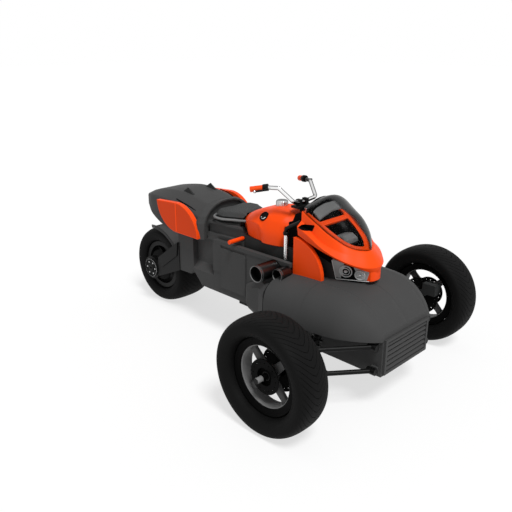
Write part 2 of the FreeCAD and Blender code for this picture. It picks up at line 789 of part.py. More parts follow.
def screen():
    # Thin smoked screen over the nose opening, open at its rear end
    def section(x, half, foot, rise):
        points = []
        for a in range(0, 181, 15):
            angle = math.radians(a)
            points.append((x, half * math.cos(angle), foot + rise * math.sin(angle)))
        return points
    outer = loft([section(*station) for station in screen_stations])
    first, last = screen_stations[0], screen_stations[-1]
    inside = [(x, half - screen_wall, foot, rise - screen_wall)
              for x, half, foot, rise in screen_stations]
    inside[0] = (first[0] - 1,) + inside[0][1:]
    inside[-1] = (last[0] - screen_wall,) + inside[-1][1:]
    hollow = loft([section(x, half, foot, rise) for x, half, foot, rise in inside])
    under = loft([[(x, half, foot), (x, -half, foot), (x, -half, foot - 20), (x, half, foot - 20)]
                  for x, half, foot, rise in inside])
    return outer.cut(hollow).cut(under).cut(cowl())


def headlight():
    # Lamp under the nose, right side: its glass leans back as it rises towards the outer end
    outer, along, up = vec(-74, -140, 627), vec(145, 106, 0), vec(-33, 0, 109)
    corners = [outer, outer + along, outer + along + up * 0.37, outer + up]
    lamp = face_of([(p.x, p.y, p.z) for p in corners]).extrude(vec(-30, 40, 0))
    return lamp.cut(cowl()).cut(hood_skin(0))


def grip_point(distance):
    # A point of the right grip's axis, measured from its outer end
    outer, inner = vec(*bar_path[0]), vec(*bar_path[1])
    point = outer + (inner - outer).normalize() * distance
    return (point.x, -point.y, point.z)


bar_path = [(-664, 219, 1049), (-584, 170, 1065), (-512, 140, 1068), (-432, 98, 992), (-452, 30, 975)]


def handlebar():
    # Swept one-piece tube through the left hand's points and their mirror images
    points = bar_path + [(x, -y, z) for x, y, z in reversed(bar_path)]
    return bent_tube(points, bar_bend_radius, bar_radius)


def grip():
    sleeve = rod(grip_point(0), grip_point(grip_length), grip_radius)
    return sleeve.cut(rod(grip_point(0), grip_point(grip_length), bar_radius))


def on_steering_axis(distance):
    # A point of the inclined steering axis, measured along it from the pivot point
    rake = math.radians(bar_rake_deg)
    return (bar_pivot_x - distance * math.sin(rake), 0, bar_pivot_z + distance * math.cos(rake))


def bar_clamp():
    # Steering stem with its yoke and the two posts that clamp the bar
    stem = rod(on_steering_axis(head_low), on_steering_axis(stem_high), stem_radius)
    x, z = bar_path[-1][0], bar_path[-1][2]
    parts = [stem, box(x - 32, x + 28, -62, 62, z - 31, z - 18)]
    for side in (-1, 1):
        y = side * clamp_post_y
        parts.append(box(x - 16, x + 16, y - 12, y + 12, z - 18, z + 18))
    return fuse(parts).cut(handlebar())


def steering_head():
    # Head tube with a foot on the tank bed
    tube = rod(on_steering_axis(head_low), on_steering_axis(head_high), head_radius)
    foot_z = tub_top_z + rail_height
    foot = box(-462, -360, -24, 24, foot_z, foot_z + head_foot_height)
    bore = rod(on_steering_axis(head_low - 60), on_steering_axis(head_high + 60),
               stem_radius + running_gap)
    return fuse([tube, foot]).cut(bore)


def frame_tubes():
    # Bright tube from the side rail up to the end of the cowl's right wing
    path = [(-425, -166, tub_top_z + rail_height), (-425, -166, 838), (-300, -160, 912)]
    wing_end = cowl_rails["crease"][0][0]
    return bent_tube(path, frame_tube_bend, frame_tube_radius).cut(
        box(wing_end, wing_end + 100, -250, 0, 800, 1000))


def bar_controls():
    # Switch housing and lever, right side
    pod = rod(grip_point(grip_length), grip_point(grip_length + pod_length), pod_radius)
    start = grip_point(grip_length + pod_length / 2)
    ahead = (start[0] + 34, start[1] - 28, start[2] - 4)
    tip = (ahead[0] - 66, ahead[1] - 30, ahead[2] - 16)
    lever = fuse([rod(start, ahead, lever_radius), rod(ahead, tip, lever_radius)])
    return fuse([pod, lever]).cut(handlebar())


def from_axle(outline):
    # Side-view points given from the rear axle's centre
    return [(rear_axle_x + x, rear_axle_z + z) for x, z in outline]


def swingarm():
    # Forked plate with its hub boss, right side, and the pivot block ahead of the rear tyre
    upper = from_axle([(86, 100), (320, 268), (307, 167), (128, 36)])
    y0, y1 = -arm_plate_y, -arm_plate_y + 40
    web = from_axle([(60, 15), (86, 100), (320, 268), (330, 268), (330, 65), (85, -45)])
    boss = ring_y(rear_axle_x, rear_axle_z, y0, y1, hub_cap_radius + 14, 0)
    plate = fuse([side_prism(web, y0, y1), side_prism(upper, y0 - 6, y0), boss])
    return plate.cut(ring_y(rear_axle_x, rear_axle_z, y0 - 10, y1 + 10, rear_axle_radius, 0))


def rear_axle():
    # Hollow axle through the hub, its bore open at both ends
    reach = arm_plate_y + 12
    return ring_y(rear_axle_x, rear_axle_z, -reach, reach, rear_axle_radius, axle_bore_radius)


def hub_cap():
    return ring_y(rear_axle_x, rear_axle_z, -arm_plate_y - 12, -arm_plate_y, hub_cap_radius,
                  rear_axle_radius)


def fender():
    # Arched guard over the front upper quarter of the rear tyre
    inner = rear_tyre_radius + fender_gap
    band = ring_y(rear_axle_x, rear_axle_z, -172, 172, inner + fender_wall, inner)
    keep = [(rear_axle_x, rear_axle_z)]
    for a in (88, 66, 44, 22):
        angle = math.radians(a)
        keep.append((rear_axle_x + 500 * math.cos(angle), rear_axle_z + 500 * math.sin(angle)))
    arm = swingarm()
    return band.common(side_prism(keep, -172, 172)).cut(arm).cut(mirrored(arm))


def rear_bracket():
    # Block that carries the swingarm and the tail, ahead of the rear tyre
    low, back = rear_axle_z + 67, rear_axle_x + 310
    outline = [(back, low), (back + 16, tub_top_z), (tub_rear_x, tub_top_z), (tub_rear_x, low + 40),
               (tub_rear_x - 30, low + 4)]
    body = side_prism(outline, -arm_plate_y + 6, arm_plate_y - 6)
    inner = rear_tyre_radius + fender_gap + fender_wall
    body = body.cut(ring_y(rear_axle_x, rear_axle_z, -300, 300, inner, 0))
    arm = swingarm()
    return body.cut(arm).cut(mirrored(arm))


def write(name, shape):
    shape = shape.copy()
    shape.translate(vec(row_shift_x, 0, 0))
    shape.exportStep("parts/%s.step" % name)


def write_pair(name, right):
    write(name + "_right", right)
    write(name + "_left", mirrored(right))


def write_both(name, right):
    # Right and left pieces of the same body share one file
    write(name, together([right, mirrored(right)]))


def build():
    os.makedirs("parts", exist_ok=True)
    tyre, rim, discs = front_wheel()
    write_pair("tyre_front", tyre)
    write_pair("rim_front", rim)
    write_pair("brake_discs_front", discs)
    write_pair("knuckle", knuckle())
    write_pair("caliper_front", caliper())
    write_both("wishbones", together([control_arm(upper_arm_z), control_arm(lower_arm_z)]))
    tyre, rim, disc = rear_wheel()
    write("tyre_rear", tyre)
    write("rim_rear", rim)
    write("brake_disc_rear", disc)
    write("rear_axle", rear_axle())
    write_both("hub_caps", hub_cap())
    write_both("swingarm", swingarm())
    write("fender_rear", fender())
    write("rear_bracket", rear_bracket())
    write("steering_rack", steering_rack())
    write("rack_housing", rack_housing())
    write_both("springs", spring_unit())
    write("nose_body", nose_body())
    write_both("spring_towers", spring_tower())
    write("grille", grille())
    write("hood", hood())
    write("tub", tub())
    write_both("neck_fairings", neck_fairing())
    write_both("side_trim", together([side_rail(), side_panel()]))
    write_both("side_cans", together(side_can()))
    write("engine_block", engine())
    write("tank_bed", tank_bed())
    write("tank", tank())
    write("tank_caps", together([fuel_cap(), filler_port()]))
    write("seat_base", seat_base())
    write("seat_pad", seat_pad())
    write_both("foot_pegs", foot_peg())
    write("arch", arch())
    write("tail", tail())
    write_both("side_leaves", together([front_leaf(), rear_leaf()]))
    write("cowl", cowl())
    write("cowl_base", cowl_base())
    write("screen", screen())
    write_both("headlights", headlight())
    write_both("frame_tubes", frame_tubes())
    write("steering_head", steering_head())
    write("bar_clamp", bar_clamp())
    write("handlebar", handlebar())
    write_both("grips", grip())
    write_both("bar_controls", bar_controls())


build()
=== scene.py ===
# %% [markdown]
# A three-wheeled roadster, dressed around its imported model.
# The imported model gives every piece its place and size. Where a node's shape is right it stays and
# gets its finish. Where the real surface is rounder or finer than the solid, a new surface takes
# its place: tread, rims, front shell, nose, tank, lamps, levers, seat.
# New shapes are worked out in millimetres from the middle of the front axle, x forward, y to the
# left, z up from the ground, and are put into the frame as they are made.

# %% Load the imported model
import json
import math

import bmesh
import bpy
import numpy as np
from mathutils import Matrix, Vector


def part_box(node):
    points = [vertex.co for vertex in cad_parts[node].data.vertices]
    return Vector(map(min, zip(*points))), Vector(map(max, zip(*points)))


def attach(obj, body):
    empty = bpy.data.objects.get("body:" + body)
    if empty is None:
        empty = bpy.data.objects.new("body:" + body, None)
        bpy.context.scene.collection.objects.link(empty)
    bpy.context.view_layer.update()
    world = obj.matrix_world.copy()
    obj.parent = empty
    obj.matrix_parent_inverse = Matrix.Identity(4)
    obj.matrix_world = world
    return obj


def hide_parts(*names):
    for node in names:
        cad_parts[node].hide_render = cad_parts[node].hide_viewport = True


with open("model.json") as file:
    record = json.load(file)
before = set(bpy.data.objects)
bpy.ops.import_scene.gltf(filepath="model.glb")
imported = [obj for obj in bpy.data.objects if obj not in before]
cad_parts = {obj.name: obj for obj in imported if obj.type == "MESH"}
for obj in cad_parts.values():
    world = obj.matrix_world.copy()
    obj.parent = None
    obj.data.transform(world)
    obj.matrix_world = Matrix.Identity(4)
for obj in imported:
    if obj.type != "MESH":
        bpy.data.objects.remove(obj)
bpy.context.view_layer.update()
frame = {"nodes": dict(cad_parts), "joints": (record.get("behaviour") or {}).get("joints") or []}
nodes = frame["nodes"]
joints = {joint["name"]: joint for joint in frame["joints"]}
axle_x, _, axle_z = (1000 * value for value in joints["kingpin_right"]["pos_m"])
track_y = -1000 * joints["wheel_front_right_spin"]["pos_m"][1]
rear_axle_x = 1000 * joints["wheel_rear_spin"]["pos_m"][0] - axle_x
rear_axle_z = 1000 * joints["wheel_rear_spin"]["pos_m"][2]
print("nodes", len(nodes), "front axle at x", axle_x, "rear axle at", rear_axle_x, rear_axle_z)


# %% [markdown]
# A shape here is a pair: an array of points, and a list of blocks of faces that number them.
# Most surfaces are grids, so one function turns a grid into faces and the rest build on it. Each of
# them works on whole arrays.

# %% Grids, walls and joined shapes
def grid_faces(rows, columns, wrap_rows=False, wrap_columns=False):
    """Quads of a grid stored row by row: each cell joins a point, the next, and the two below."""
    i, j = np.meshgrid(np.arange(rows - (not wrap_rows)), np.arange(columns - (not wrap_columns)),
                       indexing="ij")
    down, across = (i + 1) % rows, (j + 1) % columns
    corners = [i * columns + j, i * columns + across, down * columns + across, down * columns + j]
    return np.stack(corners, -1).reshape(-1, 4)


def skin(grid, wrap_rows=False, wrap_columns=False, caps=False):
    """A surface over a (rows, columns, 3) grid. Caps are flat faces over its first and last row."""
    rows, columns = grid.shape[:2]
    faces = [grid_faces(rows, columns, wrap_rows, wrap_columns)]
    if caps:
        ends = np.arange(columns)
        faces += [ends[None], ends[None] + (rows - 1) * columns]
    return grid.reshape(-1, 3), faces


def join(*shapes):
    """Several shapes as one: the points in a row, each face's numbers raised by those before it."""
    starts = np.cumsum([0] + [len(points) for points, _ in shapes])
    faces = [block + start for (_, blocks), start in zip(shapes, starts) for block in blocks]
    return np.concatenate([points for points, _ in shapes]), faces


def wall(outer, inner):
    """A closed wall: an outer and an inner grid of one size, with a strip round their border."""
    rows, columns = outer.shape[:2]
    index = np.arange(rows * columns).reshape(rows, columns)
    border = np.concatenate([index[0], index[1:, -1], index[-1, -2::-1], index[-2:0:-1, 0]])
    after = np.roll(border, -1)
    far = rows * columns
    strip = np.stack([border, after, after + far, border + far], -1)
    quads = grid_faces(rows, columns)
    points = np.concatenate([outer.reshape(-1, 3), inner.reshape(-1, 3)])
    return points, [quads, quads[:, ::-1] + far, strip]


def mirrored(shape):
    """The same shape on the other side of the centre plane."""
    return shape[0] * (1, -1, 1), [block[:, ::-1] for block in shape[1]]


def both(shape):
    """A shape and its mirror image."""
    return join(shape, mirrored(shape))


def unit(vectors):
    """Each vector over its own length."""
    vectors = np.asarray(vectors, float)
    return vectors / np.linalg.norm(vectors, axis=-1, keepdims=True)


print("grid of 3 x 4 points:", len(grid_faces(3, 4)), "quads")


# %% [markdown]
# Lines and sections. A smooth line passes through its points, a soft corner is a short parabola
# between two sides, and an inset outline is what a bevel needs.

# %% Lines and sections
def smooth_line(points, count):
    """Catmull-Rom line: cubic spans that pass through every point, where the slope at a point is
    parallel to the line between its two neighbours."""
    p = np.asarray(points, float)
    p = np.concatenate([2 * p[:1] - p[1:2], p, 2 * p[-1:] - p[-2:-1]])
    spans = len(p) - 3
    place = np.linspace(0, spans, count)
    i = np.minimum(place.astype(int), spans - 1)
    u = (place - i).reshape((-1,) + (1,) * (p.ndim - 1))
    a, b, c, d = p[i], p[i + 1], p[i + 2], p[i + 3]
    return (2 * b + (c - a) * u + (2 * a - 5 * b + 4 * c - d) * u ** 2
            + (3 * b - 3 * c + d - a) * u ** 3) / 2


def soft(outline, radius, steps=4):
    """Rounds the corners of closed outlines: a corner becomes the parabola that touches both of its
    sides at the given distance, or at 0.45 of a side that is too short for it."""
    p = np.asarray(outline, float)
    before, after = np.roll(p, 1, -2) - p, np.roll(p, -1, -2) - p
    start, end = (p + way * np.minimum(radius / np.maximum(size, 1e-6), 0.45)
                  for way in (before, after)
                  for size in [np.linalg.norm(way, axis=-1, keepdims=True)])
    t = np.linspace(0, 1, steps)[:, None]
    rounded = [start[..., None, :] * (1 - t) ** 2, p[..., None, :] * 2 * t * (1 - t),
               end[..., None, :] * t ** 2]
    return sum(rounded).reshape(p.shape[:-2] + (-1, p.shape[-1]))


def inset(outline, by):
    """An outline moved inwards: a corner goes along its half-angle line, so that both sides move by
    the same distance."""
    p = np.asarray(outline, float)
    ahead = unit(np.roll(p, -1, 0) - p)
    normal = np.stack([-ahead[:, 1], ahead[:, 0]], -1)
    other = np.roll(normal, 1, 0)
    turn = np.sum(p[:, 0] * np.roll(p[:, 1], -1) - np.roll(p[:, 0], -1) * p[:, 1])
    middle = (normal + other) / (1 + np.sum(normal * other, -1, keepdims=True))
    return p + np.sign(turn) * by * middle


def oval(half_width, half_height, power=2.0, count=24):
    """A superellipse: |a / half width| ** power + |b / half height| ** power = 1."""
    t = np.linspace(0, 2 * np.pi, count, endpoint=False)
    c, s = np.cos(t), np.sin(t)
    return np.stack([half_width * np.sign(c) * abs(c) ** (2 / power),
                     half_height * np.sign(s) * abs(s) ** (2 / power)], -1)


print("smooth line of 5:", smooth_line([(0, 0), (1, 2), (2, 0)], 5).round(2).tolist())


# %% [markdown]
# Solids from those sections: a plate is an outline with a thickness, a lathe turns a profile about
# an axis, and a sweep carries a section along a path.

# %% Plates, turned pieces and swept pieces
def plate(outline, low, high, axis="y", bevel=3.0):
    """An outline given a thickness along an axis, with a flat bevel round both faces."""
    column = "xyz".index(axis)
    small = inset(outline, bevel)
    rows = [(small, low), (outline, low + bevel), (outline, high - bevel), (small, high)]
    grid = np.stack([np.insert(np.asarray(flat, float), column, level, axis=1)
                     for flat, level in rows])
    return skin(grid, wrap_columns=True, caps=True)


def lathe(profile, centre, axis=(0, 1, 0), count=96, closed=True):
    """A profile of (distance along the axis, radius) turned about the axis: point = centre +
    distance * axis + radius * (cos a * side + sin a * front)."""
    profile, axis = np.asarray(profile, float), unit(axis)
    side = unit(np.cross(axis, (1, 0, 0) if abs(axis[0]) < 0.9 else (0, 0, 1)))
    front = np.cross(axis, side)
    a = np.linspace(0, 2 * np.pi, count, endpoint=False)[:, None]
    ring = np.cos(a) * side + np.sin(a) * front
    grid = np.asarray(centre, float) + profile[:, :1, None] * axis + profile[:, 1:, None] * ring
    return skin(grid, wrap_rows=closed, wrap_columns=True)


def sweep(path, section, up=(0, 0, 1)):
    """A section carried along a path: a section point (a, b) goes to path + a * side + b * rise,
    where side is along x up and rise is side x along. The section may change along the path."""
    path = np.asarray(path, float)
    along = unit(np.gradient(path, axis=0))
    side = unit(np.cross(along, up))
    rise = np.cross(side, along)
    section = np.broadcast_to(section, (len(path),) + np.shape(section)[-2:])
    grid = path[:, None] + section[..., :1] * side[:, None] + section[..., 1:] * rise[:, None]
    return skin(grid, wrap_columns=True, caps=True)


def tube(points, radius, count=24, turns=16, up=(0, 0, 1)):
    """A round tube on a smooth line through a few points."""
    return sweep(smooth_line(points, count), oval(radius, radius, count=turns), up)


def ball(centre, radius, squash=1.0):
    """A sphere, or a flattened one: a half circle turned about an upright axis."""
    t = np.linspace(0, np.pi, 13)
    return lathe(np.stack([-radius * squash * np.cos(t), radius * np.sin(t)], -1), centre,
                 (0, 0, 1), 24, closed=False)


print("a plate has", len(plate(oval(10, 10), 0, 5)[0]), "points")


# %% [markdown]
# One function turns a shape into a finished piece: it merges the points that lie on each other,
# points the faces outwards, smooths what is round, keeps edges that are sharp, gives the piece its
# material and lets it ride on its body. The steps that other cells need too stand apart.

# %% Make a piece
def linked(made):
    """Puts a new object into the scene."""
    bpy.context.scene.collection.objects.link(made)
    return made


def new_object(name, shape):
    """An object in the frame: its points go from millimetres at the front axle to metres."""
    points, blocks = shape
    mesh = bpy.data.meshes.new(name)
    mesh.from_pydata((points + (axle_x, 0, 0)) / 1000, [],
                     [face for block in blocks for face in block.tolist()])
    return linked(bpy.data.objects.new(name, mesh))


def clean(mesh, merge_mm):
    """Merges points nearer than the given distance and turns all faces outwards."""
    work = bmesh.new()
    work.from_mesh(mesh)
    bmesh.ops.remove_doubles(work, verts=work.verts, dist=merge_mm / 1000)
    bmesh.ops.recalc_face_normals(work, faces=work.faces)
    work.to_mesh(mesh)
    work.free()


def apply_modifiers(piece):
    """Bakes a piece's modifiers into its mesh."""
    bpy.context.view_layer.update()
    graph = bpy.context.evaluated_depsgraph_get()
    mesh = bpy.data.meshes.new_from_object(piece.evaluated_get(graph))
    piece.modifiers.clear()
    piece.data = mesh


def make_piece(name, shape, body, material, sharp=32.0, replaced=()):
    """A finished piece. Edges that turn by more than the sharp angle, in degrees, stay sharp."""
    piece = new_object(name, shape)
    clean(piece.data, 0.02)
    piece.data.shade_smooth()
    piece.data.set_sharp_from_angle(angle=math.radians(sharp))
    piece.data.materials.append(material)
    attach(piece, body)
    if replaced:
        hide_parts(*replaced)
    print(name, "on", body, len(piece.data.polygons), "faces")
    return piece


# %% [markdown]
# Materials. A hex colour is what a screen shows, so it is turned to linear light first. A finish
# could be a painted picture, but a picture needs a layout on every piece. Noise in space needs
# none, and its patches get a real size in mm. One small function adds a node with its links. One
# recipe serves the plain finishes: a broad noise shifts the colour a little, as paint and moulding
# do, and a fine noise gives roughness and a shallow bump at the real grain size.

# %% Nodes and the plain finish
def linear(colour):
    """sRGB hex to linear: c / 12.92 below 0.04045, else ((c + 0.055) / 1.055) ** 2.4."""
    c = np.array([int(colour[i:i + 2], 16) for i in (0, 2, 4)]) / 255
    return np.where(c <= 0.04045, c / 12.92, ((c + 0.055) / 1.055) ** 2.4)


def tint(colour, factor=1.0):
    """The linear colour times a factor, cut to 0 and 1, and fully opaque."""
    return (*np.clip(linear(colour) * factor, 0, 1), 1.0)


def feed(tree, node, inputs):
    """Sets a node's inputs: each is a plain value or another node's output."""
    for key, value in inputs.items():
        if isinstance(value, bpy.types.NodeSocket):
            tree.links.new(value, node.inputs[key])
        else:
            node.inputs[key].default_value = value


def add(tree, kind, inputs, **settings):
    """Adds a node with its settings and links, and gives its outputs."""
    node = tree.nodes.new(kind)
    for key, value in settings.items():
        setattr(node, key, value)
    feed(tree, node, inputs)
    return node.outputs


def new_material(name, colour):
    """A material with its node tree, its shader and the coordinates its patterns read."""
    material = bpy.data.materials.new(name)
    material.use_nodes = True
    material.diffuse_color = tint(colour)
    tree = material.node_tree
    where = add(tree, "ShaderNodeTexCoord", {})["Object"]
    return material, tree, tree.nodes["Principled BSDF"], where


def colour_spread(tree, where, colour, size_mm, spread):
    """Two shades of one colour, mixed by a noise whose patches have a real size."""
    patches = add(tree, "ShaderNodeTexNoise", {"Vector": where, "Scale": 1000 / size_mm,
                                               "Detail": 3.0})
    shades = {"Factor": patches["Fac"], 6: tint(colour, 1 - spread), 7: tint(colour, 1 + spread)}
    return add(tree, "ShaderNodeMix", shades, data_type="RGBA")[2]


def plain_finish(name, colour, roughness, grain_mm, depth_mm, specular=0.5, spread=0.05,
                 patch_mm=160):
    """Colour in broad patches, roughness and bump from one fine noise."""
    material, tree, shader, where = new_material(name, colour)
    fine = add(tree, "ShaderNodeTexNoise", {"Vector": where, "Scale": 1000 / grain_mm,
                                            "Detail": 2.0})["Fac"]
    rough = add(tree, "ShaderNodeMapRange", {
        "Value": fine, "From Min": 0.3, "From Max": 0.7, "To Min": roughness - 0.05,
        "To Max": roughness + 0.05})["Result"]
    grain = add(tree, "ShaderNodeBump", {"Height": fine, "Distance": depth_mm / 1000})["Normal"]
    feed(tree, shader, {"Base Color": colour_spread(tree, where, colour, patch_mm, spread),
                        "Roughness": rough, "Normal": grain, "Specular IOR Level": specular})
    return material


print("mid grey in linear light:", linear("808080").round(3).tolist())


# %% [markdown]
# The painted panels are enamel over steel and moulded shell: an even colour with a faint orange
# peel, about 3 mm from wave to wave. Cast wheels are painted over a slightly rough skin. After the
# colour come roughness, grain and its depth in mm, and the specular level. That level is low on
# dark paint, because the white background's reflection would turn it grey.

# %% Paints
orange_enamel = plain_finish("satin_orange_enamel", "ff4e0e", 0.45, 3.0, 0.02, 0.14, spread=0.02)
# Painted shade: a darker copy of the orange, for the faces of the rear leaves.
painted_shade_orange = plain_finish("painted_shade_orange_enamel", "d8410c", 0.45, 3.0, 0.02, 0.08, spread=0.03)
grey_enamel = plain_finish("satin_grey_enamel", "454545", 0.6, 3.0, 0.02, 0.06, spread=0.04)
slate_enamel = plain_finish("dark_slate_enamel", "343535", 0.6, 3.0, 0.02, 0.05)
rim_enamel = plain_finish("cast_alloy_grey_enamel", "565656", 0.5, 1.2, 0.05, 0.1)
# Painted light: a lighter copy of the rim's grey for the barrel, so that its shaded inside looks
# lit.
barrel_painted_light_enamel = plain_finish("barrel_grey_with_painted_light", "7c7c7c", 0.5, 1.2, 0.05, 0.1,
                             spread=0.04)
gloss_black = plain_finish("gloss_black_enamel", "030303", 0.4, 3.0, 0.01, 0.03, spread=0.1)
print("paints", orange_enamel.name, grey_enamel.name, slate_enamel.name)


# %% [markdown]
# Powder coat on tubes and arms is slightly rough and looks satin. Moulded plastic has a fine spark
# grain, so its highlights are broad. Tyre rubber is the dullest of all. The lamps' bowls are
# silvered plastic, which is even and pale here, because the fine reflections would only be noise:
# their pale colour is a painted reflection.

# %% Plastics and rubber
powder_coat = plain_finish("black_powder_coat", "0c0c0c", 0.42, 0.8, 0.04, 0.12, spread=0.1)
black_plastic = plain_finish("moulded_black_abs", "121313", 0.6, 0.9, 0.08, 0.1, spread=0.08)
# Near-black for places where there is only shade, as painted shade in hollows and on plates that
# fill dark spaces; it also colours dark seams.
painted_shade_and_seam_black = plain_finish("black_for_painted_shade_and_seams", "050606", 0.8, 0.9, 0.05, 0.05, spread=0.1)
pale_abs = plain_finish("pale_grey_abs", "676868", 0.5, 0.9, 0.05)
lamp_grey = plain_finish("lamp_panel_grey_abs", "a6a8a8", 0.4, 0.9, 0.03)
bright_trim = plain_finish("pale_lamp_trim", "c4c6c6", 0.3, 2.0, 0.01)
# The bowl's even pale colour is a painted reflection.
silvered = plain_finish("silvered_lamp_bowl", "d2d6d6", 0.35, 1.0, 0.02, 0.3)
tyre_rubber = plain_finish("moulded_tyre_rubber", "111111", 0.65, 1.6, 0.08, 0.06, 0.12, 60)
grip_rubber = plain_finish("moulded_orange_grip_rubber", "ff5212", 0.6, 1.5, 0.2, 0.25, 0.05, 40)
pale_piping = plain_finish("pale_seat_piping", "6e6f6f", 0.5, 1.5, 0.05, patch_mm=40)
print("plastics", powder_coat.name, black_plastic.name, tyre_rubber.name)


# %% [markdown]
# Bare metal: chrome on the handlebar, turned aluminium on caps, satin steel on rings. Polished
# metal shows its surroundings, and could do so from a painted sky. Here they would be a light tent
# with black screens beside it, so a painted reflection of them takes their place: the metal's colour
# falls off towards its edges, and looks the same from every side. The discs are blackened and the
# stubs are zinc plated, which look even, so these two are plain finishes.

# %% Metals
def painted_reflection_metal(name, light, dark, roughness, start, end):
    """Painted reflection of black screens: the colour goes from light, where the metal faces the
    eye, to dark along its edges, between two values of facing."""
    material, tree, shader, where = new_material(name, light)
    facing = add(tree, "ShaderNodeLayerWeight", {"Blend": 0.5})["Facing"]
    edge = add(tree, "ShaderNodeMapRange", {"Value": facing, "From Min": start, "From Max": end})
    shades = {"Factor": edge["Result"], 6: tint(light), 7: tint(dark)}
    brushed = add(tree, "ShaderNodeTexNoise", {"Vector": where, "Scale": 1000 / 2.0})["Fac"]
    rough = add(tree, "ShaderNodeMapRange", {
        "Value": brushed, "To Min": roughness - 0.04, "To Max": roughness + 0.04})["Result"]
    feed(tree, shader, {"Base Color": add(tree, "ShaderNodeMix", shades, data_type="RGBA")[2],
                        "Metallic": 1.0, "Roughness": rough})
    return material


# Each metal's dark edges are a painted reflection, not its own colour.
chrome = painted_reflection_metal("polished_chrome", "f4f4f4", "161616", 0.14, 0.08, 0.5)
satin_chrome = painted_reflection_metal("satin_chrome_tube", "f2f2f2", "6a6a6a", 0.25, 0.35, 0.95)
turned_aluminium = painted_reflection_metal("turned_aluminium", "cfcfcf", "2a2a2a", 0.3, 0.3, 0.8)
satin_steel = painted_reflection_metal("satin_steel", "7c7c7c", "141414", 0.35, 0.2, 0.7)
can_metal = painted_reflection_metal("dark_rolled_steel", "5e6060", "0a0a0a", 0.32, 0.05, 0.75)
stub_steel = plain_finish("zinc_plated_stub_steel", "8a8a8a", 0.4, 0.8, 0.02, 0.3, patch_mm=20)
black_steel = plain_finish("blackened_disc_steel", "070707", 0.5, 0.7, 0.02, 0.04, 0.15, 12)
print("metals", chrome.name, turned_aluminium.name, black_steel.name)


# %% [markdown]
# The seat's cover is grained vinyl: small raised cells with grooves between them, which make it
# matt. The cells are drawn 2.5 mm wide, coarser than real ones, so that they show.

# %% Seat cover
def grained_vinyl(name, colour, cell_mm, depth_mm):
    """A Voronoi pattern's borders are the grooves between the cells of the grain."""
    material, tree, shader, where = new_material(name, colour)
    cells = add(tree, "ShaderNodeTexVoronoi", {"Vector": where, "Scale": 1000 / cell_mm},
                feature="DISTANCE_TO_EDGE")
    groove = add(tree, "ShaderNodeMapRange", {"Value": cells["Distance"], "From Max": 0.12})
    grain = add(tree, "ShaderNodeBump", {"Height": groove["Result"], "Distance": depth_mm / 1000})
    feed(tree, shader, {"Base Color": colour_spread(tree, where, colour, 90, 0.06),
                        "Normal": grain["Normal"], "Roughness": 0.6, "Specular IOR Level": 0.06})
    return material


seat_vinyl = grained_vinyl("grained_grey_vinyl", "3f4040", 2.5, 0.3)
print("cover", seat_vinyl.name)


# %% [markdown]
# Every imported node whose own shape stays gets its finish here. The other nodes are replaced by the
# surfaces of later cells.

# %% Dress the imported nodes
node_finish = {
    grey_enamel: ["nose_body", "grille", "tub", "neck_fairings", "side_trim", "arch", "fender_rear",
                  "rear_bracket", "spring_towers", "seat_base"],
    slate_enamel: ["tank_bed", "cowl_base", "caliper_front_right", "caliper_front_left"],
    orange_enamel: ["foot_pegs"],
    powder_coat: ["wishbones", "swingarm", "steering_rack", "rack_housing", "engine_block",
                  "knuckle_right", "knuckle_left", "rear_axle", "steering_head", "rim_rear"],
    black_plastic: ["bar_clamp", "bar_controls"],
    black_steel: ["brake_disc_rear"],
    grip_rubber: ["grips"],
    chrome: ["handlebar"],
}
for material, names in node_finish.items():
    for name in names:
        nodes[name].data.materials.clear()
        nodes[name].data.materials.append(material)
print("nodes dressed:", sum(len(names) for names in node_finish.values()), "of", len(nodes))


# %% [markdown]
# The tyres have a motorcycle-like section: a superellipse over the tread and shoulders, a tighter
# curl from the widest point in to the bead. Blocks could be modelled one by one, but the grooves
# are all alike and form a chevron, so the grid's columns are sheared instead: each column follows a
# groove from the crown to the shoulder, and two columns of every pitch are pushed inwards.

# %% Tyres
def tyre_profile(width, outer, bead, bead_half, steps=14):
    """Tread: (y / half) ** 2.6 + ((r - mid) / (outer - mid)) ** 2.6 = 1. Flank: the same with power
    2.2 between the widest point and the bead. Gives y, radius and the outward direction."""
    half, mid = width / 2, bead + 0.56 * (outer - bead)
    t = np.linspace(0, np.pi / 2, steps + 1)
    top = np.stack([half * np.cos(t) ** (2 / 2.6),
                    mid + (outer - mid) * np.sin(t) ** (2 / 2.6)], -1)
    t = np.linspace(np.pi / 2, 0, steps)[:-1]
    low = np.stack([bead_half + (half - bead_half) * np.cos(t) ** (2 / 2.2),
                    mid - (mid - bead) * np.sin(t) ** (2 / 2.2)], -1)
    right = np.concatenate([low, top[:-1]])
    line = np.concatenate([right, top[-1:], right[::-1] * (-1, 1)])
    way = np.gradient(line, axis=0)
    return line, unit(np.stack([way[:, 1], -way[:, 0]], -1))


groove_depth = 4.0  # places are shares of a pitch, and the cut columns go down by the depth
column_places = np.array([0.0, 0.02, 0.07, 0.09, 0.32, 0.55, 0.78])
column_cut = np.array([0.0, 1.0, 1.0, 0.0, 0.0, 0.0, 0.0])


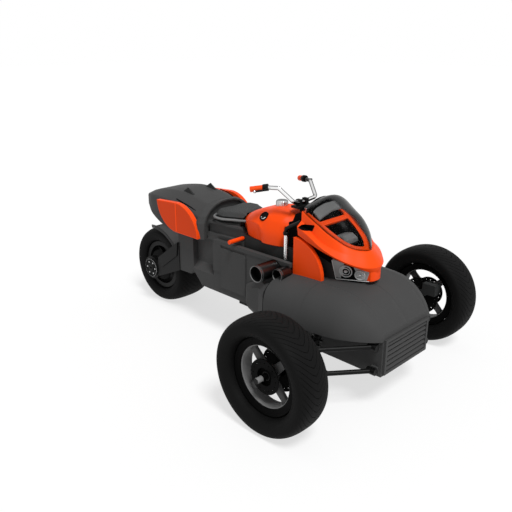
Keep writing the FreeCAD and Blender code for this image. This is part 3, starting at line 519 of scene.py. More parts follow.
def tyre(name, body, centre, size, pitches, lean, node):
    """A groove at pitch angle a sits at a - lean * (|y| / half) ** 1.4: apex first as the wheel
    rolls forward. It fades out before the shoulder's edge."""
    width, outer, bead, _ = size
    line, out = tyre_profile(*size)
    across = abs(line[:, 0]) / (width / 2)
    tread = np.where(line[:, 1] > bead + 0.56 * (outer - bead) + 1, 1.0, 0.0)
    depth = groove_depth * tread * np.clip((0.95 - across) / 0.3, 0, 1)
    turn = (np.arange(pitches)[:, None] + column_places).ravel() * 2 * np.pi / pitches
    cut = np.tile(column_cut, pitches)
    angle = turn - lean / outer * np.minimum(across, 1.0)[:, None] ** 1.4
    shown = line[:, None] - out[:, None] * (depth[:, None] * cut)[..., None]
    y, radius = shown[..., 0], shown[..., 1]
    grid = np.stack([radius * np.sin(angle), y, radius * np.cos(angle)], -1)
    shape = skin(grid + np.asarray(centre, float), wrap_rows=True, wrap_columns=True)
    return make_piece(name, shape, body, tyre_rubber, 28, [node])


front_wheels = {"right": np.array([0, -track_y, axle_z]), "left": np.array([0, track_y, axle_z])}
front_size = (205.0, 313.5, 210.0, 43.0)  # width, outer radius, bead radius, half width there
rear_size = (299.0, 285.0, 184.0, 119.0)
for side, centre in front_wheels.items():
    tyre("tread_front_" + side, "wheel_front_" + side, centre, front_size, 52, 130.0,
         "tyre_front_" + side)
rear_centre = np.array([rear_axle_x, 0, rear_axle_z])
tyre("tread_rear", "wheel_rear", rear_centre, rear_size, 46, 150.0, "tyre_rear")


# %% [markdown]
# Rims are cast in one piece: two gloss black flange rings hold the tyre, a wide grey barrel lies
# between them, and four tapered spokes form an X. The barrel's grey is lighter than the spokes':
# that is painted light on its shaded inside. As they are round, the barrel, flanges and hub are
# turned profiles; a spoke is a rounded section that narrows along its way, as a casting does.
# The stub axle's free end, in the hub's middle, is zinc plated and stays with the knuckle.

# %% Rims
def spoke(centre, angle, inner, outer, root, tip, depth):
    """A superellipse of power 4 carried outwards: its width goes from root to tip, and swells again
    in the last fifth, where it meets the barrel."""
    r = np.linspace(inner, outer, 12)
    s = (r - inner) / (outer - inner)
    width = root + (tip - root) * s + 16 * np.clip((s - 0.8) / 0.2, 0, 1) ** 2
    way = np.array([math.sin(angle), 0, math.cos(angle)])
    path = np.asarray(centre, float) + r[:, None] * way
    section = oval(0.5, depth / 2, 4.0)[None] * np.stack([width, np.ones_like(width)], -1)[:, None]
    return sweep(path, section, (0, 1, 0))


rim_bead, rim_half, barrel_radius, spoke_depth = 202.0, 42.0, 160.0, 24.0
stub_end_radius, stub_start, stub_end = 15.15, 60.0, 99.5
barrel_profile = [(rim_half - 2, barrel_radius + 9), (rim_half - 6, barrel_radius),
                  (-rim_half + 6, barrel_radius), (-rim_half + 2, barrel_radius + 9),
                  (-rim_half + 2, rim_bead - 4), (rim_half - 2, rim_bead - 4)]
flange_profile = [(rim_half - 4, rim_bead - 4), (rim_half + 1, rim_bead + 5),
                  (rim_half + 5, rim_bead + 7), (rim_half + 9, rim_bead + 4),
                  (rim_half + 9, rim_bead - 4), (rim_half + 4, rim_bead - 9),
                  (rim_half + 3, barrel_radius + 14), (rim_half, barrel_radius + 7),
                  (rim_half - 6, barrel_radius + 4)]
hub_profile = [(-30, 19), (-30, 23), (-26, 26), (-20, 28), (-16, 40), (30, 46), (36, 38), (84, 38),
               (84, 19)]


def rim(side, centre, outboard):
    """Profiles are (distance from the wheel's middle, radius). The hub's is drawn inboard first."""
    tag, body = "front_" + side, "wheel_front_" + side
    make_piece("barrel_" + tag, lathe(soft(barrel_profile, 4), centre, count=128), body,
               barrel_painted_light_enamel)
    spokes = join(*(spoke(centre, math.radians(angle), 30, barrel_radius + 4, 56, 38, spoke_depth)
                    for angle in (45, 135, 225, 315)))
    make_piece("rim_" + tag, spokes, body, rim_enamel, 32, ["rim_" + tag])
    flange = soft(flange_profile, 3, 3)
    rings = join(*(lathe(flange * (way, 1), centre, count=128) for way in (-1, 1)))
    make_piece("rim_flanges_" + tag, rings, body, gloss_black)
    hub = soft(np.array(hub_profile) * (-outboard, 1), 2, 3)
    make_piece("hub_" + tag, lathe(hub, centre, count=64), body, powder_coat)
    stub = lathe([(stub_start, 14.0), (stub_start, stub_end_radius), (98, stub_end_radius),
                  (stub_end, 13.5), (stub_end, 0)], centre, (0, outboard, 0), 40, closed=False)
    make_piece("stub_end_" + side, stub, "knuckle_" + side, stub_steel)


outboard_way = {"right": -1, "left": 1}
for side, centre in front_wheels.items():
    rim(side, centre, outboard_way[side])


# %% [markdown]
# Brake discs are drilled: a ring of small holes that show light on the far wheel. They could be cut
# with a boolean, but a ring is the same cell many times over. Each hole has its own cell, and the
# cell's grid goes from the round hole to the cell's straight borders.

# %% Drilled discs
def drilled_disc(centre, inner, outer, holes, hole_radius, thickness=5.0):
    """In a cell, direction a meets the square |s|, |t| <= 1; that point becomes a turn of s * pi /
    holes and a radius of middle + t * half, and rows blend from it to the hole's circle."""
    a = np.arange(16) * np.pi / 8
    square = np.stack([np.cos(a), np.sin(a)], -1)
    square /= abs(square).max(-1, keepdims=True)
    middle, half = (inner + outer) / 2 + 0.1 * (outer - inner), (outer - inner) / 2
    turn = square[:, 0] * np.pi / holes
    radius = (inner + outer) / 2 + square[:, 1] * half
    edge = np.stack([radius * np.sin(turn), radius * np.cos(turn)], -1)
    hole = np.stack([hole_radius * np.cos(a), middle + hole_radius * np.sin(a)], -1)
    rows = np.stack([edge, (edge + hole) / 2, hole, hole, (edge + hole) / 2, edge])
    level = np.repeat([-thickness / 2, thickness / 2], 3)
    spin = np.arange(holes)[:, None, None] * 2 * np.pi / holes
    x = rows[None, ..., 0] * np.cos(spin) + rows[None, ..., 1] * np.sin(spin)
    z = rows[None, ..., 1] * np.cos(spin) - rows[None, ..., 0] * np.sin(spin)
    y = np.broadcast_to(level[:, None], x.shape)
    cells = np.stack([x, y, z], -1) + np.asarray(centre, float)
    quads = grid_faces(6, 16, wrap_columns=True)
    count = 6 * 16
    faces = (quads[None] + np.arange(holes)[:, None, None] * count).reshape(-1, 4)
    on_rim = abs(square[:, 1]) > 0.999
    same_side = square[:, 1] * np.roll(square[:, 1], -1) > 0
    j = np.flatnonzero(on_rim & np.roll(on_rim, -1) & same_side)
    side_wall = np.stack([j, j + 5 * 16, (j + 1) % 16 + 5 * 16, (j + 1) % 16], -1)
    walls = (side_wall[None] + np.arange(holes)[:, None, None] * count).reshape(-1, 4)
    return cells.reshape(-1, 3), [faces, walls]


for side, centre in front_wheels.items():
    way = outboard_way[side]
    near = drilled_disc(centre + (0, way * 38, 0), 48, 94, 16, 3.4)
    far = drilled_disc(centre + (0, -way * 72, 0), 78, 120, 20, 4.0)
    far_carrier = lathe([(-69, 36), (-69, 84), (-75, 84), (-75, 36)], centre, (0, way, 0), 64)
    near_carrier = lathe([(16, 36), (16, 60), (36, 60), (36, 48), (22, 46), (22, 36)], centre,
                         (0, way, 0), 64)
    make_piece("discs_front_" + side, join(near, far, far_carrier, near_carrier),
               "wheel_front_" + side, black_steel, 32, ["brake_discs_front_" + side])


# %% [markdown]
# The front shell is one big rounded moulding: flat on top, superellipse shoulders, a straight lower
# edge. A bevelled box would keep one radius all round, and this one's shoulders change from end to
# end, so stations along the car are joined by a smooth line. Shallow grooves mark where its panels
# meet: two along the flat top and one across it. A black seam lies along its rear edge.

# %% Front shell
hood_lip, hood_wall, hood_groove, cross_seam_x = 412.0, 12.0, 2.2, -130.0
hood_stations = [  # x, half width, crown, half width of the flat top, power of the shoulder
    (306, 236, 450, 200, 2.0), (257, 284, 514, 200, 2.0), (183, 334, 572, 202, 2.0),
    (88, 378, 607, 204, 2.0), (-53, 399, 616, 202, 2.0), (-220, 396, 614, 190, 2.2),
    (-397, 386, 600, 160, 3.0)]


def hood_grid(inset_by):
    """Per station: y = flat + (half - flat) cos a ** (2 / power), z = lip + (crown - lip) sin a **
    (2 / power), then straight over the flat top. A groove lowers z where cut is 1."""
    station = smooth_line(hood_stations, 61)
    groove_rows = np.array([-6.0, -3.0, 3.0, 6.0])
    x_line = np.sort(np.concatenate([station[:, 0], cross_seam_x + groove_rows]))[::-1]
    order = np.argsort(station[:, 0])
    station = np.stack([np.interp(x_line, station[order, 0], station[order, k])
                        for k in range(5)], -1)
    x, half, crown, flat, power = (column[:, None] for column in station.T)
    a = np.radians([0, 6, 13, 21, 30, 40, 51, 63, 76, 86])
    flat = flat - inset_by
    shoulder_y = flat + (half - inset_by - flat) * np.cos(a) ** (2 / power)
    shoulder_z = np.sin(a) ** (2 / power)
    share = np.array([1.0, 0.985, 0.97, 0.8, 0.6, 0.4, 0.2, 0.03, 0.015])
    y = np.concatenate([shoulder_y, flat * share, np.zeros_like(flat)], 1)
    rise = np.concatenate([shoulder_z * np.ones_like(flat), np.ones((len(x), 10))], 1)
    cut = np.zeros(20)
    cut[[10, 11, 18, 19]] = 1
    row_cut = (abs(x - cross_seam_x) < 4).astype(float)
    depth = hood_groove * np.maximum(cut, row_cut) * (inset_by == 0)
    z = hood_lip + (crown - inset_by - hood_lip) * rise - depth * np.minimum(rise * 3, 1)
    x = np.where(x > hood_stations[0][0] - 0.5, x - inset_by, x)
    right = np.stack([np.broadcast_to(x, y.shape), -y, z], -1)
    return np.concatenate([right, (right * (1, -1, 1))[:, -2::-1]], 1)


def shell(outer, inner):
    """Like a wall, but its front row is closed by a flat face on either side."""
    rows, columns = outer.shape[:2]
    index = np.arange(rows * columns).reshape(rows, columns)
    far = rows * columns
    edge = np.concatenate([index[:, 0], index[-1, 1:], index[-2::-1, -1]])
    strip = np.stack([edge[:-1], edge[1:], edge[1:] + far, edge[:-1] + far], -1)
    front_gap = np.array([[index[0, 0], index[0, 0] + far, index[0, -1] + far, index[0, -1]]])
    quads = grid_faces(rows, columns)
    return (np.concatenate([outer.reshape(-1, 3), inner.reshape(-1, 3)]),
            [quads, quads[:, ::-1] + far, strip, front_gap, index[:1], index[:1] + far])


hood_outer = hood_grid(0)
make_piece("front_shell", shell(hood_outer, hood_grid(hood_wall)), "root", grey_enamel,
           30, ["hood"])
rear_seam = hood_outer[-1] * (1, 0.99, 1) - (3, 0, 3)
make_piece("shell_seam", sweep(rear_seam, oval(3.5, 3.5, count=8), (1, 0, 0)), "root", painted_shade_and_seam_black,
           40)


# %% [markdown]
# The nose is a horseshoe with long wings, moulded in one piece. It could be pulled from a box and
# subdivided, but its edges have to stay where the light breaks. So six edge lines run from the
# right wing's end round the nose to the left one, and each cross-section is the closed outline
# through them with its corners rounded. The outer side of each wing has a sunk vent.

# %% Nose
nose_lines = {
    "rim_inner": [(-320, 120, 969), (-195, 104, 904), (-128, 91, 865), (-78, 72, 834),
                  (-42, 49, 815), (-22, 27, 807), (-8, 11, 805), (-3, 0, 805)],
    "ridge": [(-320, 156, 971), (-226, 168, 930), (-155, 158, 885), (-84, 141, 848),
              (-35, 118, 820), (6, 78, 799), (36, 36, 790), (48, 0, 788)],
    "shoulder": [(-320, 157, 917), (-226, 170, 863), (-154, 168, 823), (-80, 157, 802),
                 (-24, 136, 786), (24, 95, 766), (62, 50, 754), (78, 0, 744)],
    "crease": [(-320, 194, 890), (-226, 206, 858), (-147, 201, 812), (-68, 188, 776),
               (-3, 163, 751), (51, 117, 727), (91, 65, 716), (110, 0, 715)],
    "lower": [(-320, 184, 836), (-227, 196, 812), (-147, 191, 786), (-69, 177, 761),
              (-6, 151, 736), (44, 105, 711), (80, 57, 688), (98, 0, 669)],
    "inner_low": [(-320, 140, 850), (-220, 150, 822), (-140, 146, 790), (-62, 134, 762),
                  (-10, 108, 738), (28, 72, 716), (48, 34, 700), (54, 0, 696)]}
vent_outline = [(-312, 886), (-305, 900), (-218, 915), (-215, 907), (-228, 878), (-242, 875),
                (-286, 879)]


def nose_line(name, count=145):
    """An edge line through its points and their mirror images, from right wing to left wing."""
    right = np.array(nose_lines[name], float) * (1, -1, 1)
    return smooth_line(np.concatenate([right, right[-2::-1] * (1, -1, 1)]), count)


def nose_grid():
    """A section takes one point of every line; its corners are then rounded."""
    return soft(np.stack([nose_line(name) for name in nose_lines], 1), 4.0, 3)


def cut_away(piece, shape, material):
    """Subtracts a closed shape from a piece. The faces of the cut take the given material."""
    tool = new_object("cutter", shape)
    tool.data.materials.append(material)
    step = piece.modifiers.new("cut", "BOOLEAN")
    step.object, step.operation = tool, "DIFFERENCE"
    step.solver, step.material_mode = "EXACT", "TRANSFER"
    apply_modifiers(piece)
    bpy.data.objects.remove(tool)
    piece.data.set_sharp_from_angle(angle=math.radians(30))
    print(piece.name, "after the cut:", len(piece.data.polygons), "faces")


nose = make_piece("nose_cowl", skin(nose_grid(), wrap_columns=True, caps=True), "root",
                  orange_enamel, 30, ["cowl"])
# The vent's cut faces take the near-black: painted shade in the recess.
cut_away(nose, both(plate(vent_outline, -230.0, -152.0, "y", 0.5)), painted_shade_and_seam_black)


# %% [markdown]
# A crossbar joins the wings, and a chin stands on the front shell: both are flat plates with a
# bevel. Near-black plates behind the wings and a near-black lining inside the nose are painted
# shade: they close those spaces, so that no light shows through.

# %% Crossbar, chin, painted shade plates and lining
shell_top_z = 604.0
crossbar = plate([(-196, 904), (-217, 923), (-217, 908), (-203, 892)], -126, 126, "y", 0.5)
chin_outline = [(46, -44), (88, -48), (98, -25), (101, 0), (98, 25), (88, 48), (46, 44)]
chin = plate(soft(chin_outline, 6.0, 3), 632, 706, "z", 1.5)
shade_plate_outline = [(-455, 664), (-292, 664), (-292, 880), (-322, 938), (-372, 944), (-404, 930),
                 (-426, 884), (-455, 872)]
# The plates' near-black is painted shade.
make_piece("nose_rear_painted_shade_plates", both(plate(shade_plate_outline, -112.0, -102.0, "y", 1.0)), "root",
           painted_shade_and_seam_black, 30)
make_piece("nose_crossbar_and_chin", join(crossbar, chin), "root", orange_enamel,
           40)


def lining_grid(thinner):
    """The near-black lining, which is painted shade, hangs just inside the rim, follows the cover's
    lower inner edge, and narrows down to the front shell."""
    top, low = nose_line("rim_inner"), nose_line("inner_low")
    foot = low * (1, 0.72, 0) + (0, 0, shell_top_z)
    rows = np.stack([top * (1, 0.97, 1) - (4, 0, 5), low * (1, 0.92, 1), foot])
    return rows - np.sign(rows) * (0, thinner, 0)


make_piece("nose_painted_shade_lining", wall(lining_grid(0.0), lining_grid(5.0)), "root", painted_shade_and_seam_black,
           40)


# %% [markdown]
# A lamp panel stands under the nose on each side and leans out as it rises. Two bowls with bright
# rings and bulbs are set before it, and a light edge frames it. The bowls and rings are turned
# about the panel's own direction, so they lean with it.

# %% Lamps
lamp_corners = np.array([(-90, -119, 622), (80, -47, 632), (80, -56, 686),
                         (-100, -150, 737)], float)
lamp_bowls = [((-35, -108, 676), 34.0), ((36, -74, 663), 27.0)]  # centre and radius
lamp_out = unit(np.cross(lamp_corners[1] - lamp_corners[0], lamp_corners[3] - lamp_corners[0]))
bowl_profile = np.array([(-9, 0), (-9, 0.5), (-7, 1), (-12, 1), (-12, 0)])  # depth, share of radius


def lamp_ring(centre, radius, thick):
    """A small oval at the given radius, turned about the lamp's direction."""
    return lathe(oval(thick, thick, count=10) + (0, radius), centre, lamp_out, 40)


panel = skin(np.stack([lamp_corners + lamp_out * depth for depth in (-8.0, -30.0)]),
             wrap_columns=True, caps=True)
rings = [lamp_ring(centre, radius * share, 2.4 * share + 0.8)
         for centre, radius in lamp_bowls for share in (1.0, 0.62)]
bowls = [lathe(bowl_profile * (1, radius), centre, lamp_out, 40, closed=False)
         for centre, radius in lamp_bowls]
bulbs = [ball(centre, radius * 0.3, 0.8) for centre, radius in lamp_bowls]
edge_path = lamp_corners[[3, 0, 1]] + lamp_out
edges = [tube(ends, 2.6, 6, 8, lamp_out) for ends in zip(edge_path, edge_path[1:])]
make_piece("lamp_panels", both(panel), "root", lamp_grey, 30, ["headlights"])
make_piece("lamp_bowls", both(join(*bowls)), "root", silvered, 30)
make_piece("lamp_rings", both(join(*edges, *rings, *bulbs)), "root", bright_trim,
           30)


# %% [markdown]
# Orange side leaves: a quarter-oval panel beside the nose, and a leaf-shaped one on the tail, whose
# face has an upright ridge and is a darker orange, which is painted shade. They are flat, so
# outlines made of arcs are given a thickness. Their bevelled edge catches the light as a bright
# line.

# %% Side leaves
def arc(centre, half_x, half_z, start_deg, end_deg, count=24):
    """Points on an ellipse: x = centre + half_x cos a, z = centre + half_z sin a."""
    a = np.radians(np.linspace(start_deg, end_deg, count))
    return np.stack([centre[0] + half_x * np.cos(a), centre[1] + half_z * np.sin(a)], -1)


front_outline = np.concatenate([arc((-343, 617), 210, 206, 0, 90), [(-343, 560), (-133, 560)]])
tip_x, leaf_ridge_x, leaf_rear_x, leaf_low, leaf_high = -1118.0, -1335.0, -1541.0, 647.0, 852.0
leaf_height = leaf_high - leaf_low
rear_outline = np.concatenate([
    arc((leaf_ridge_x, leaf_low), tip_x - leaf_ridge_x, leaf_height, 0, 90),
    arc((leaf_ridge_x, leaf_high), leaf_ridge_x - leaf_rear_x, leaf_height, 180, 270)[1:]])
ridge_outline = [(leaf_ridge_x - 5, 655), (leaf_ridge_x + 5, 655), (leaf_ridge_x + 5, 848),
                 (leaf_ridge_x - 5, 848)]
front_leaf = plate(front_outline, -196.0, -170.0, "y", 1.5)
rear_leaf = plate(rear_outline, -258.0, -226.0, "y", 1.5)
rear_face = plate(inset(rear_outline, 4.5), -259.0, -250.0, "y", 1.0)
leaf_ridge = plate(ridge_outline, -261.0, -250.0, "y", 2.5)
# The faces' darker orange is painted shade.
make_piece("rear_leaf_faces", both(rear_face), "root", painted_shade_orange, 30)
make_piece("front_leaves", both(front_leaf), "root", orange_enamel, 30,
           ["side_leaves"])
make_piece("rear_leaves", both(join(rear_leaf, leaf_ridge)), "root", orange_enamel,
           30)


# %% [markdown]
# The smoked screen stands on the nose's rim band: half ellipses over the band, one behind the
# other, with an open rear end. It is thin smoked plastic, a little clear from the front and dark
# where it is seen along its surface. Real glass would need many bounces of light, so opacity that
# follows the angle stands in for it.

# %% Screen
def smoked_plastic(name, colour, clear, dark):
    """Opacity rises from clear to dark as the surface turns away from the eye."""
    material, tree, shader, where = new_material(name, colour)
    facing = add(tree, "ShaderNodeLayerWeight", {"Blend": 0.5})["Facing"]
    cover = add(tree, "ShaderNodeMapRange", {"Value": facing, "From Min": 0.37, "From Max": 0.46,
                                             "To Min": clear, "To Max": dark})["Result"]
    haze = add(tree, "ShaderNodeTexNoise", {"Vector": where, "Scale": 1000 / 60})["Fac"]
    rough = add(tree, "ShaderNodeMapRange", {"Value": haze, "To Min": 0.2, "To Max": 0.3})["Result"]
    feed(tree, shader, {"Base Color": tint(colour), "Specular IOR Level": 0.15, "Alpha": cover,
                        "Roughness": rough})
    return material


screen_stations = [  # x, half width, foot, rise
    (-320, 148, 967, 48), (-270, 158, 946, 96), (-226, 159, 927, 119), (-155, 149, 882, 124),
    (-84, 132, 845, 120), (-35, 109, 817, 100), (6, 69, 796, 76), (34, 26, 788, 46),
    (42, 10, 788, 24)]


def screen_grid(thinner):
    """Across a station: y = half cos a, z = foot + rise sin a."""
    x, half, foot, rise = (column[:, None] for column in smooth_line(screen_stations, 49).T)
    a = np.linspace(0, np.pi, 41)
    return np.stack([x + 0 * a, -(half - thinner) * np.cos(a),
                     foot + (rise - thinner) * np.sin(a)], -1)


screen_wall = 4.0
smoke = smoked_plastic("smoked_clear_plastic", "202121", 0.08, 0.97)
make_piece("smoked_screen", wall(screen_grid(0.0), screen_grid(screen_wall)), "root", smoke,
           60, ["screen"])


# %% [markdown]
# Under the screen: a near-black back plate, which is painted shade in the hollow, the light grey
# visor behind the crossbar, and the instrument block. They are moulded and show only as tones
# through the screen, so plain plates are enough.

# %% Visor and instruments
visor_front = np.array([(-222, -116, 938), (-217, -84, 953), (-217, -18, 972), (-217, 66, 972),
                        (-222, 114, 954)], float)
visor_rear = np.array([(-262, -126, 976), (-262, -92, 992), (-262, -30, 1004), (-262, 60, 1004),
                       (-262, 118, 984)], float)
visor_wall = 9.0
visor_top = np.stack([visor_front, visor_rear])
make_piece("visor", wall(visor_top, visor_top - (0, 0, visor_wall)), "root", pale_abs,
           20)
back_outline = np.concatenate([arc((0, 958), 138, 74, 180, 0, 25), [(132, 938), (-132, 938)]])
# The back plate's near-black is painted shade.
make_piece("instrument_painted_shade_back", plate(back_outline, -306, -300, "x", 1.0), "root", painted_shade_and_seam_black,
           30)
block_outline = [(-170, 790), (-96, 780), (-78, 806), (-84, 826), (-120, 846), (-165, 838)]
make_piece("instrument_block", plate(block_outline, -46, 62, "y", 8.0), "root", pale_abs,
           30)


# %% [markdown]
# The tank is pressed from two halves. Its crown is round, and on each flank a flat knee panel ends
# in a sharp crease. One subdivided box would soften both alike. Here the sections are closed
# outlines with four corners on each side, and a corner's radius is small where it is the crease and
# large where the crown turns over. The lower front is cut away.

# %% Tank
tank_stations = np.array([  # x, half width, low, high, foot share, crease share, crease radius
    (-903, 42, 742, 798, 0.86, 0.60, 4), (-860, 74, 731, 835, 0.86, 0.62, 4),
    (-806, 118, 726, 864, 0.86, 0.64, 4), (-768, 150, 724, 882, 0.86, 0.64, 4),
    (-705, 169, 722, 906, 0.86, 0.63, 4),
    (-645, 176, 722, 921, 0.87, 0.56, 4), (-612, 179, 722, 929, 0.96, 0.42, 16),
    (-570, 180, 722, 931, 0.97, 0.38, 30), (-500, 165, 722, 925, 0.97, 0.38, 30),
    (-462, 142, 722, 907, 0.97, 0.38, 30), (-426, 117, 724, 884, 0.97, 0.38, 30)])
tank_step_x, tank_step_z = -462.0, 846.0


def mirrored_sections(x, y, z, radius, steps):
    """Closed sections across x: the right halves' corners (y, z), their mirror images, rounded."""
    flat = np.stack([np.concatenate([y, -y[:, ::-1]], 1), np.concatenate([z, z[:, ::-1]], 1)], -1)
    flat = soft(flat, radius, steps)
    return np.concatenate([np.broadcast_to(x[:, None, None], flat.shape[:2] + (1,)), flat], -1)


def tank_grid():
    """Right half of a section: (foot, low), (wide, crease), (0.84 wide, shoulder), (0.45 wide,
    crown); the left half mirrors it. Ahead of the step no point is lower than the step."""
    x, wide, low, high, foot, crease, crease_radius = smooth_line(tank_stations, 91).T
    tall = high - low
    y = np.stack([wide * foot, wide, wide * 0.84, wide * 0.45], 1)
    z = np.stack([low, low + tall * crease, low + tall * np.maximum(0.76, crease + 0.16),
                  high - tall * 0.03], 1)
    radius = np.stack([8 + 0 * x, crease_radius, 30 + 0 * x, 42 + 0 * x], 1)
    radius = np.concatenate([radius, radius[:, ::-1]], 1)[..., None]
    grid = mirrored_sections(x, y, z, radius, 6)
    behind, ahead = grid[x <= tank_step_x], grid[x >= tank_step_x]
    at_step = behind[-1:] * (0, 1, 1) + (tank_step_x, 0, 0)
    ahead = np.concatenate([at_step, ahead])
    ahead[..., 2] = np.maximum(ahead[..., 2], tank_step_z)
    return np.concatenate([behind, at_step, ahead])


make_piece("tank_shell", skin(tank_grid(), wrap_columns=True, caps=True), "root", orange_enamel,
           16, ["tank"])


# %% [markdown]
# The fuel cap is turned and fluted for the fingers, so its radius waves round the rim, which needs
# no cutting. The filler on the flank is a black port with a sunk middle and a chrome lip along its
# lower front.

# %% Fuel cap and filler
def fluted(profile, centre, flutes, depth, low, high, count=144):
    """A lathe with the radius r * (1 - depth * (1 + cos(flutes * a)) / 2) between two heights."""
    points, faces = lathe(profile, (0, 0, 0), (0, 0, 1), count, closed=False)
    angle = np.arctan2(points[:, 1], points[:, 0])
    waved = (points[:, 2] > low) & (points[:, 2] < high)
    shrink = 1 - depth * (1 + np.cos(flutes * angle)) / 2 * waved
    return points * np.stack([shrink, shrink, np.ones_like(shrink)], -1) + centre, faces


cap_profile = [(0, 0), (0, 37), (5, 38), (10, 38), (44, 38), (51, 36), (55, 31), (55, 0)]
make_piece("fuel_cap", fluted(cap_profile, (-612, 0, 900), 16, 0.07, 4, 50), "root",
           turned_aluminium, 40, ["tank_caps"])
filler_centre, filler_out = np.array([-626.0, -142.0, 879.0]), unit((-0.14, -0.69, 0.71))
filler_side = unit(np.cross(filler_out, (0, 0, 1)))
filler_rise = np.cross(filler_side, filler_out)
port_profile = [(-16, 31), (3, 31), (5, 29.5), (5, 27), (2.5, 26), (2.5, 0)]
port = lathe(port_profile, filler_centre, filler_out, 56, closed=False)
a = np.radians(np.linspace(-170, -30, 17))[:, None]
lip_path = filler_centre + 3 * filler_out + 19 * (np.cos(a) * filler_side + np.sin(a) * filler_rise)
make_piece("filler_port", port, "root", gloss_black, 40)
make_piece("filler_ring", sweep(lip_path, oval(4.5, 2.5, count=12), filler_out), "root", chrome,
           40)


# %% [markdown]
# A pad is foam under a stretched cover. Carving its crown by hand would guess at what the cover's
# pull does by itself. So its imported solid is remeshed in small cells, taken in a little and blown
# up as cloth, and the cover crowns between its edges. No point may move further than the cap.

# %% Blow up a pad
def remeshed(piece, voxel_mm):
    """One even skin of small square cells around the piece."""
    step = piece.modifiers.new("cells", "REMESH")
    step.mode, step.voxel_size = "VOXEL", voxel_mm / 1000
    apply_modifiers(piece)


def mesh_points(mesh, field="co"):
    """All points of a mesh, or all their normals, as one (count, 3) array."""
    flat = np.empty(len(mesh.vertices) * 3)
    mesh.vertices.foreach_get(field, flat)
    return flat.reshape(-1, 3)


def blown_up(piece, pressure, cap_mm, frames=20):
    """Cloth under pressure, no gravity: new point = old point + its move, cut to the cap."""
    start = mesh_points(piece.data)
    cloth = piece.modifiers.new("cloth", "CLOTH")
    cloth.settings.use_pressure = True
    cloth.settings.uniform_pressure_force = pressure
    cloth.settings.effector_weights.gravity = 0.0
    for moment in range(1, frames + 1):
        bpy.context.scene.frame_set(moment)
    graph = bpy.context.evaluated_depsgraph_get()
    moved = mesh_points(piece.evaluated_get(graph).data) - start
    piece.modifiers.clear()
    bpy.context.scene.frame_set(1)
    far = np.linalg.norm(moved, axis=1, keepdims=True)
    moved *= np.minimum(1, cap_mm / 1000 / np.maximum(far, 1e-9))
    piece.data.vertices.foreach_set("co", (start + moved).ravel())
    piece.data.update()
    print(piece.name, "swells by up to", round(1000 * np.linalg.norm(moved, axis=1).max(), 1), "mm")


# %% [markdown]
# The saddle pad. After the cloth comes one subdivision, and a piping runs along the lower edge,
# where the cover is sewn.

# %% Seat pad
pad_cell, pad_taken_in, pad_pressure, pad_cap = 6.0, 3.0, 4.0, 6.0
piping_radius = 8.0
pad = linked(bpy.data.objects.new("saddle_pad", nodes["seat_pad"].data.copy()))
clean(pad.data, 0.01)
remeshed(pad, pad_cell)
taken_in = mesh_points(pad.data) - pad_taken_in / 1000 * mesh_points(pad.data, "normal")
pad.data.vertices.foreach_set("co", taken_in.ravel())
blown_up(pad, pad_pressure, pad_cap)
rounder = pad.modifiers.new("rounder", "SUBSURF")
rounder.levels = rounder.render_levels = 1
apply_modifiers(pad)
pad.data.shade_smooth()
pad.data.materials.clear()
pad.data.materials.append(seat_vinyl)
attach(pad, "root")
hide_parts("seat_pad")
pad_low = 1000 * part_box("seat_pad")[0][2]
piping_right = np.array([(-812, -74), (-834, -108), (-890, -136), (-966, -176), (-1040, -171),
                         (-1073, -128), (-1074, -60)], float)
piping_flat = np.concatenate([piping_right, [(-1074, 0)], piping_right[::-1] * (1, -1)])
piping_path = np.insert(smooth_line(piping_flat, 121), 2, pad_low + 3.0, axis=1)
make_piece("pad_piping", sweep(piping_path, oval(piping_radius, piping_radius, count=12)), "root",
           pale_piping, 40)


# %% [markdown]
# The canisters beside the middle body are short steel drums with a rolled ring at the mouth and a
# bore painted near-black, which is painted shade. They are round all along, so they are turned
# profiles.

# %% Side canisters
def can_parts(x, z, radius, root_y, mouth_y):
    """Drum, ring and bore of a canister that reaches out from -root_y to -mouth_y."""
    length = mouth_y - root_y
    start, outwards = (x, -root_y, z), (0, -1, 0)
    drum = [(0, 0), (0, radius - 3), (8, radius - 3), (12, radius), (length - 14, radius),
            (length - 12, radius - 3), (length - 10, radius - 6), (length - 43, radius - 6),
            (length - 43, 0)]
    ring = np.array([(-9, -1), (0, -1), (0, -4), (-2, -6), (-9, -6)]) + (length, radius)
    bore = [(length - 2, radius - 6), (length - 9, radius - 9), (length - 40, radius - 12),
            (length - 40, 0), (length - 42, 0), (length - 42, radius - 6.5)]
    return (lathe(drum, start, outwards, 72, closed=False), lathe(ring, start, outwards, 72),
            lathe(bore, start, outwards, 72, closed=False))


drums, rings, bores = zip(can_parts(-470, 612, 50, 209, 369), can_parts(-371, 612, 38, 209, 299))
make_piece("canister_drums", both(join(*drums)), "root", can_metal, 30, ["side_cans"])
make_piece("canister_rings", both(join(*rings)), "root", satin_steel, 30)
# The bores' near-black is painted shade.
make_piece("canister_bores", both(join(*bores)), "root", painted_shade_and_seam_black, 30)


# %% [markdown]
# The tail is one moulded deck with soft corners, made of stations as the tank is. A black seam runs
# over each side's edge, low ribs stand on each flank ahead of the leaf, and a small pointed fin
# stands on each side of the deck. Four flush plugs close the rack's holes.

# %% Tail deck
tail_stations = [  # x, half width, low, edge, crown
    (-1150, 212, 640, 778, 846), (-1240, 219, 640, 806, 864), (-1335, 224, 640, 832, 880),
    (-1495, 224, 640, 846, 892), (-1680, 196, 690, 841, 866), (-1789, 150, 735, 820, 836)]
rack_middle_x, rack_half_x, rack_half_y = rear_axle_x + 230, 120, 80


def tail_grid():
    """Section: feet, edges and crown corners at (half, low), (half, edge), (0.55 half, crown)."""
    x, half, low, edge, crown = smooth_line(tail_stations, 49).T
    y = np.stack([half, half, half * 0.55], 1)
    return mirrored_sections(x, y, np.stack([low, edge, crown], 1), 14.0, 5)


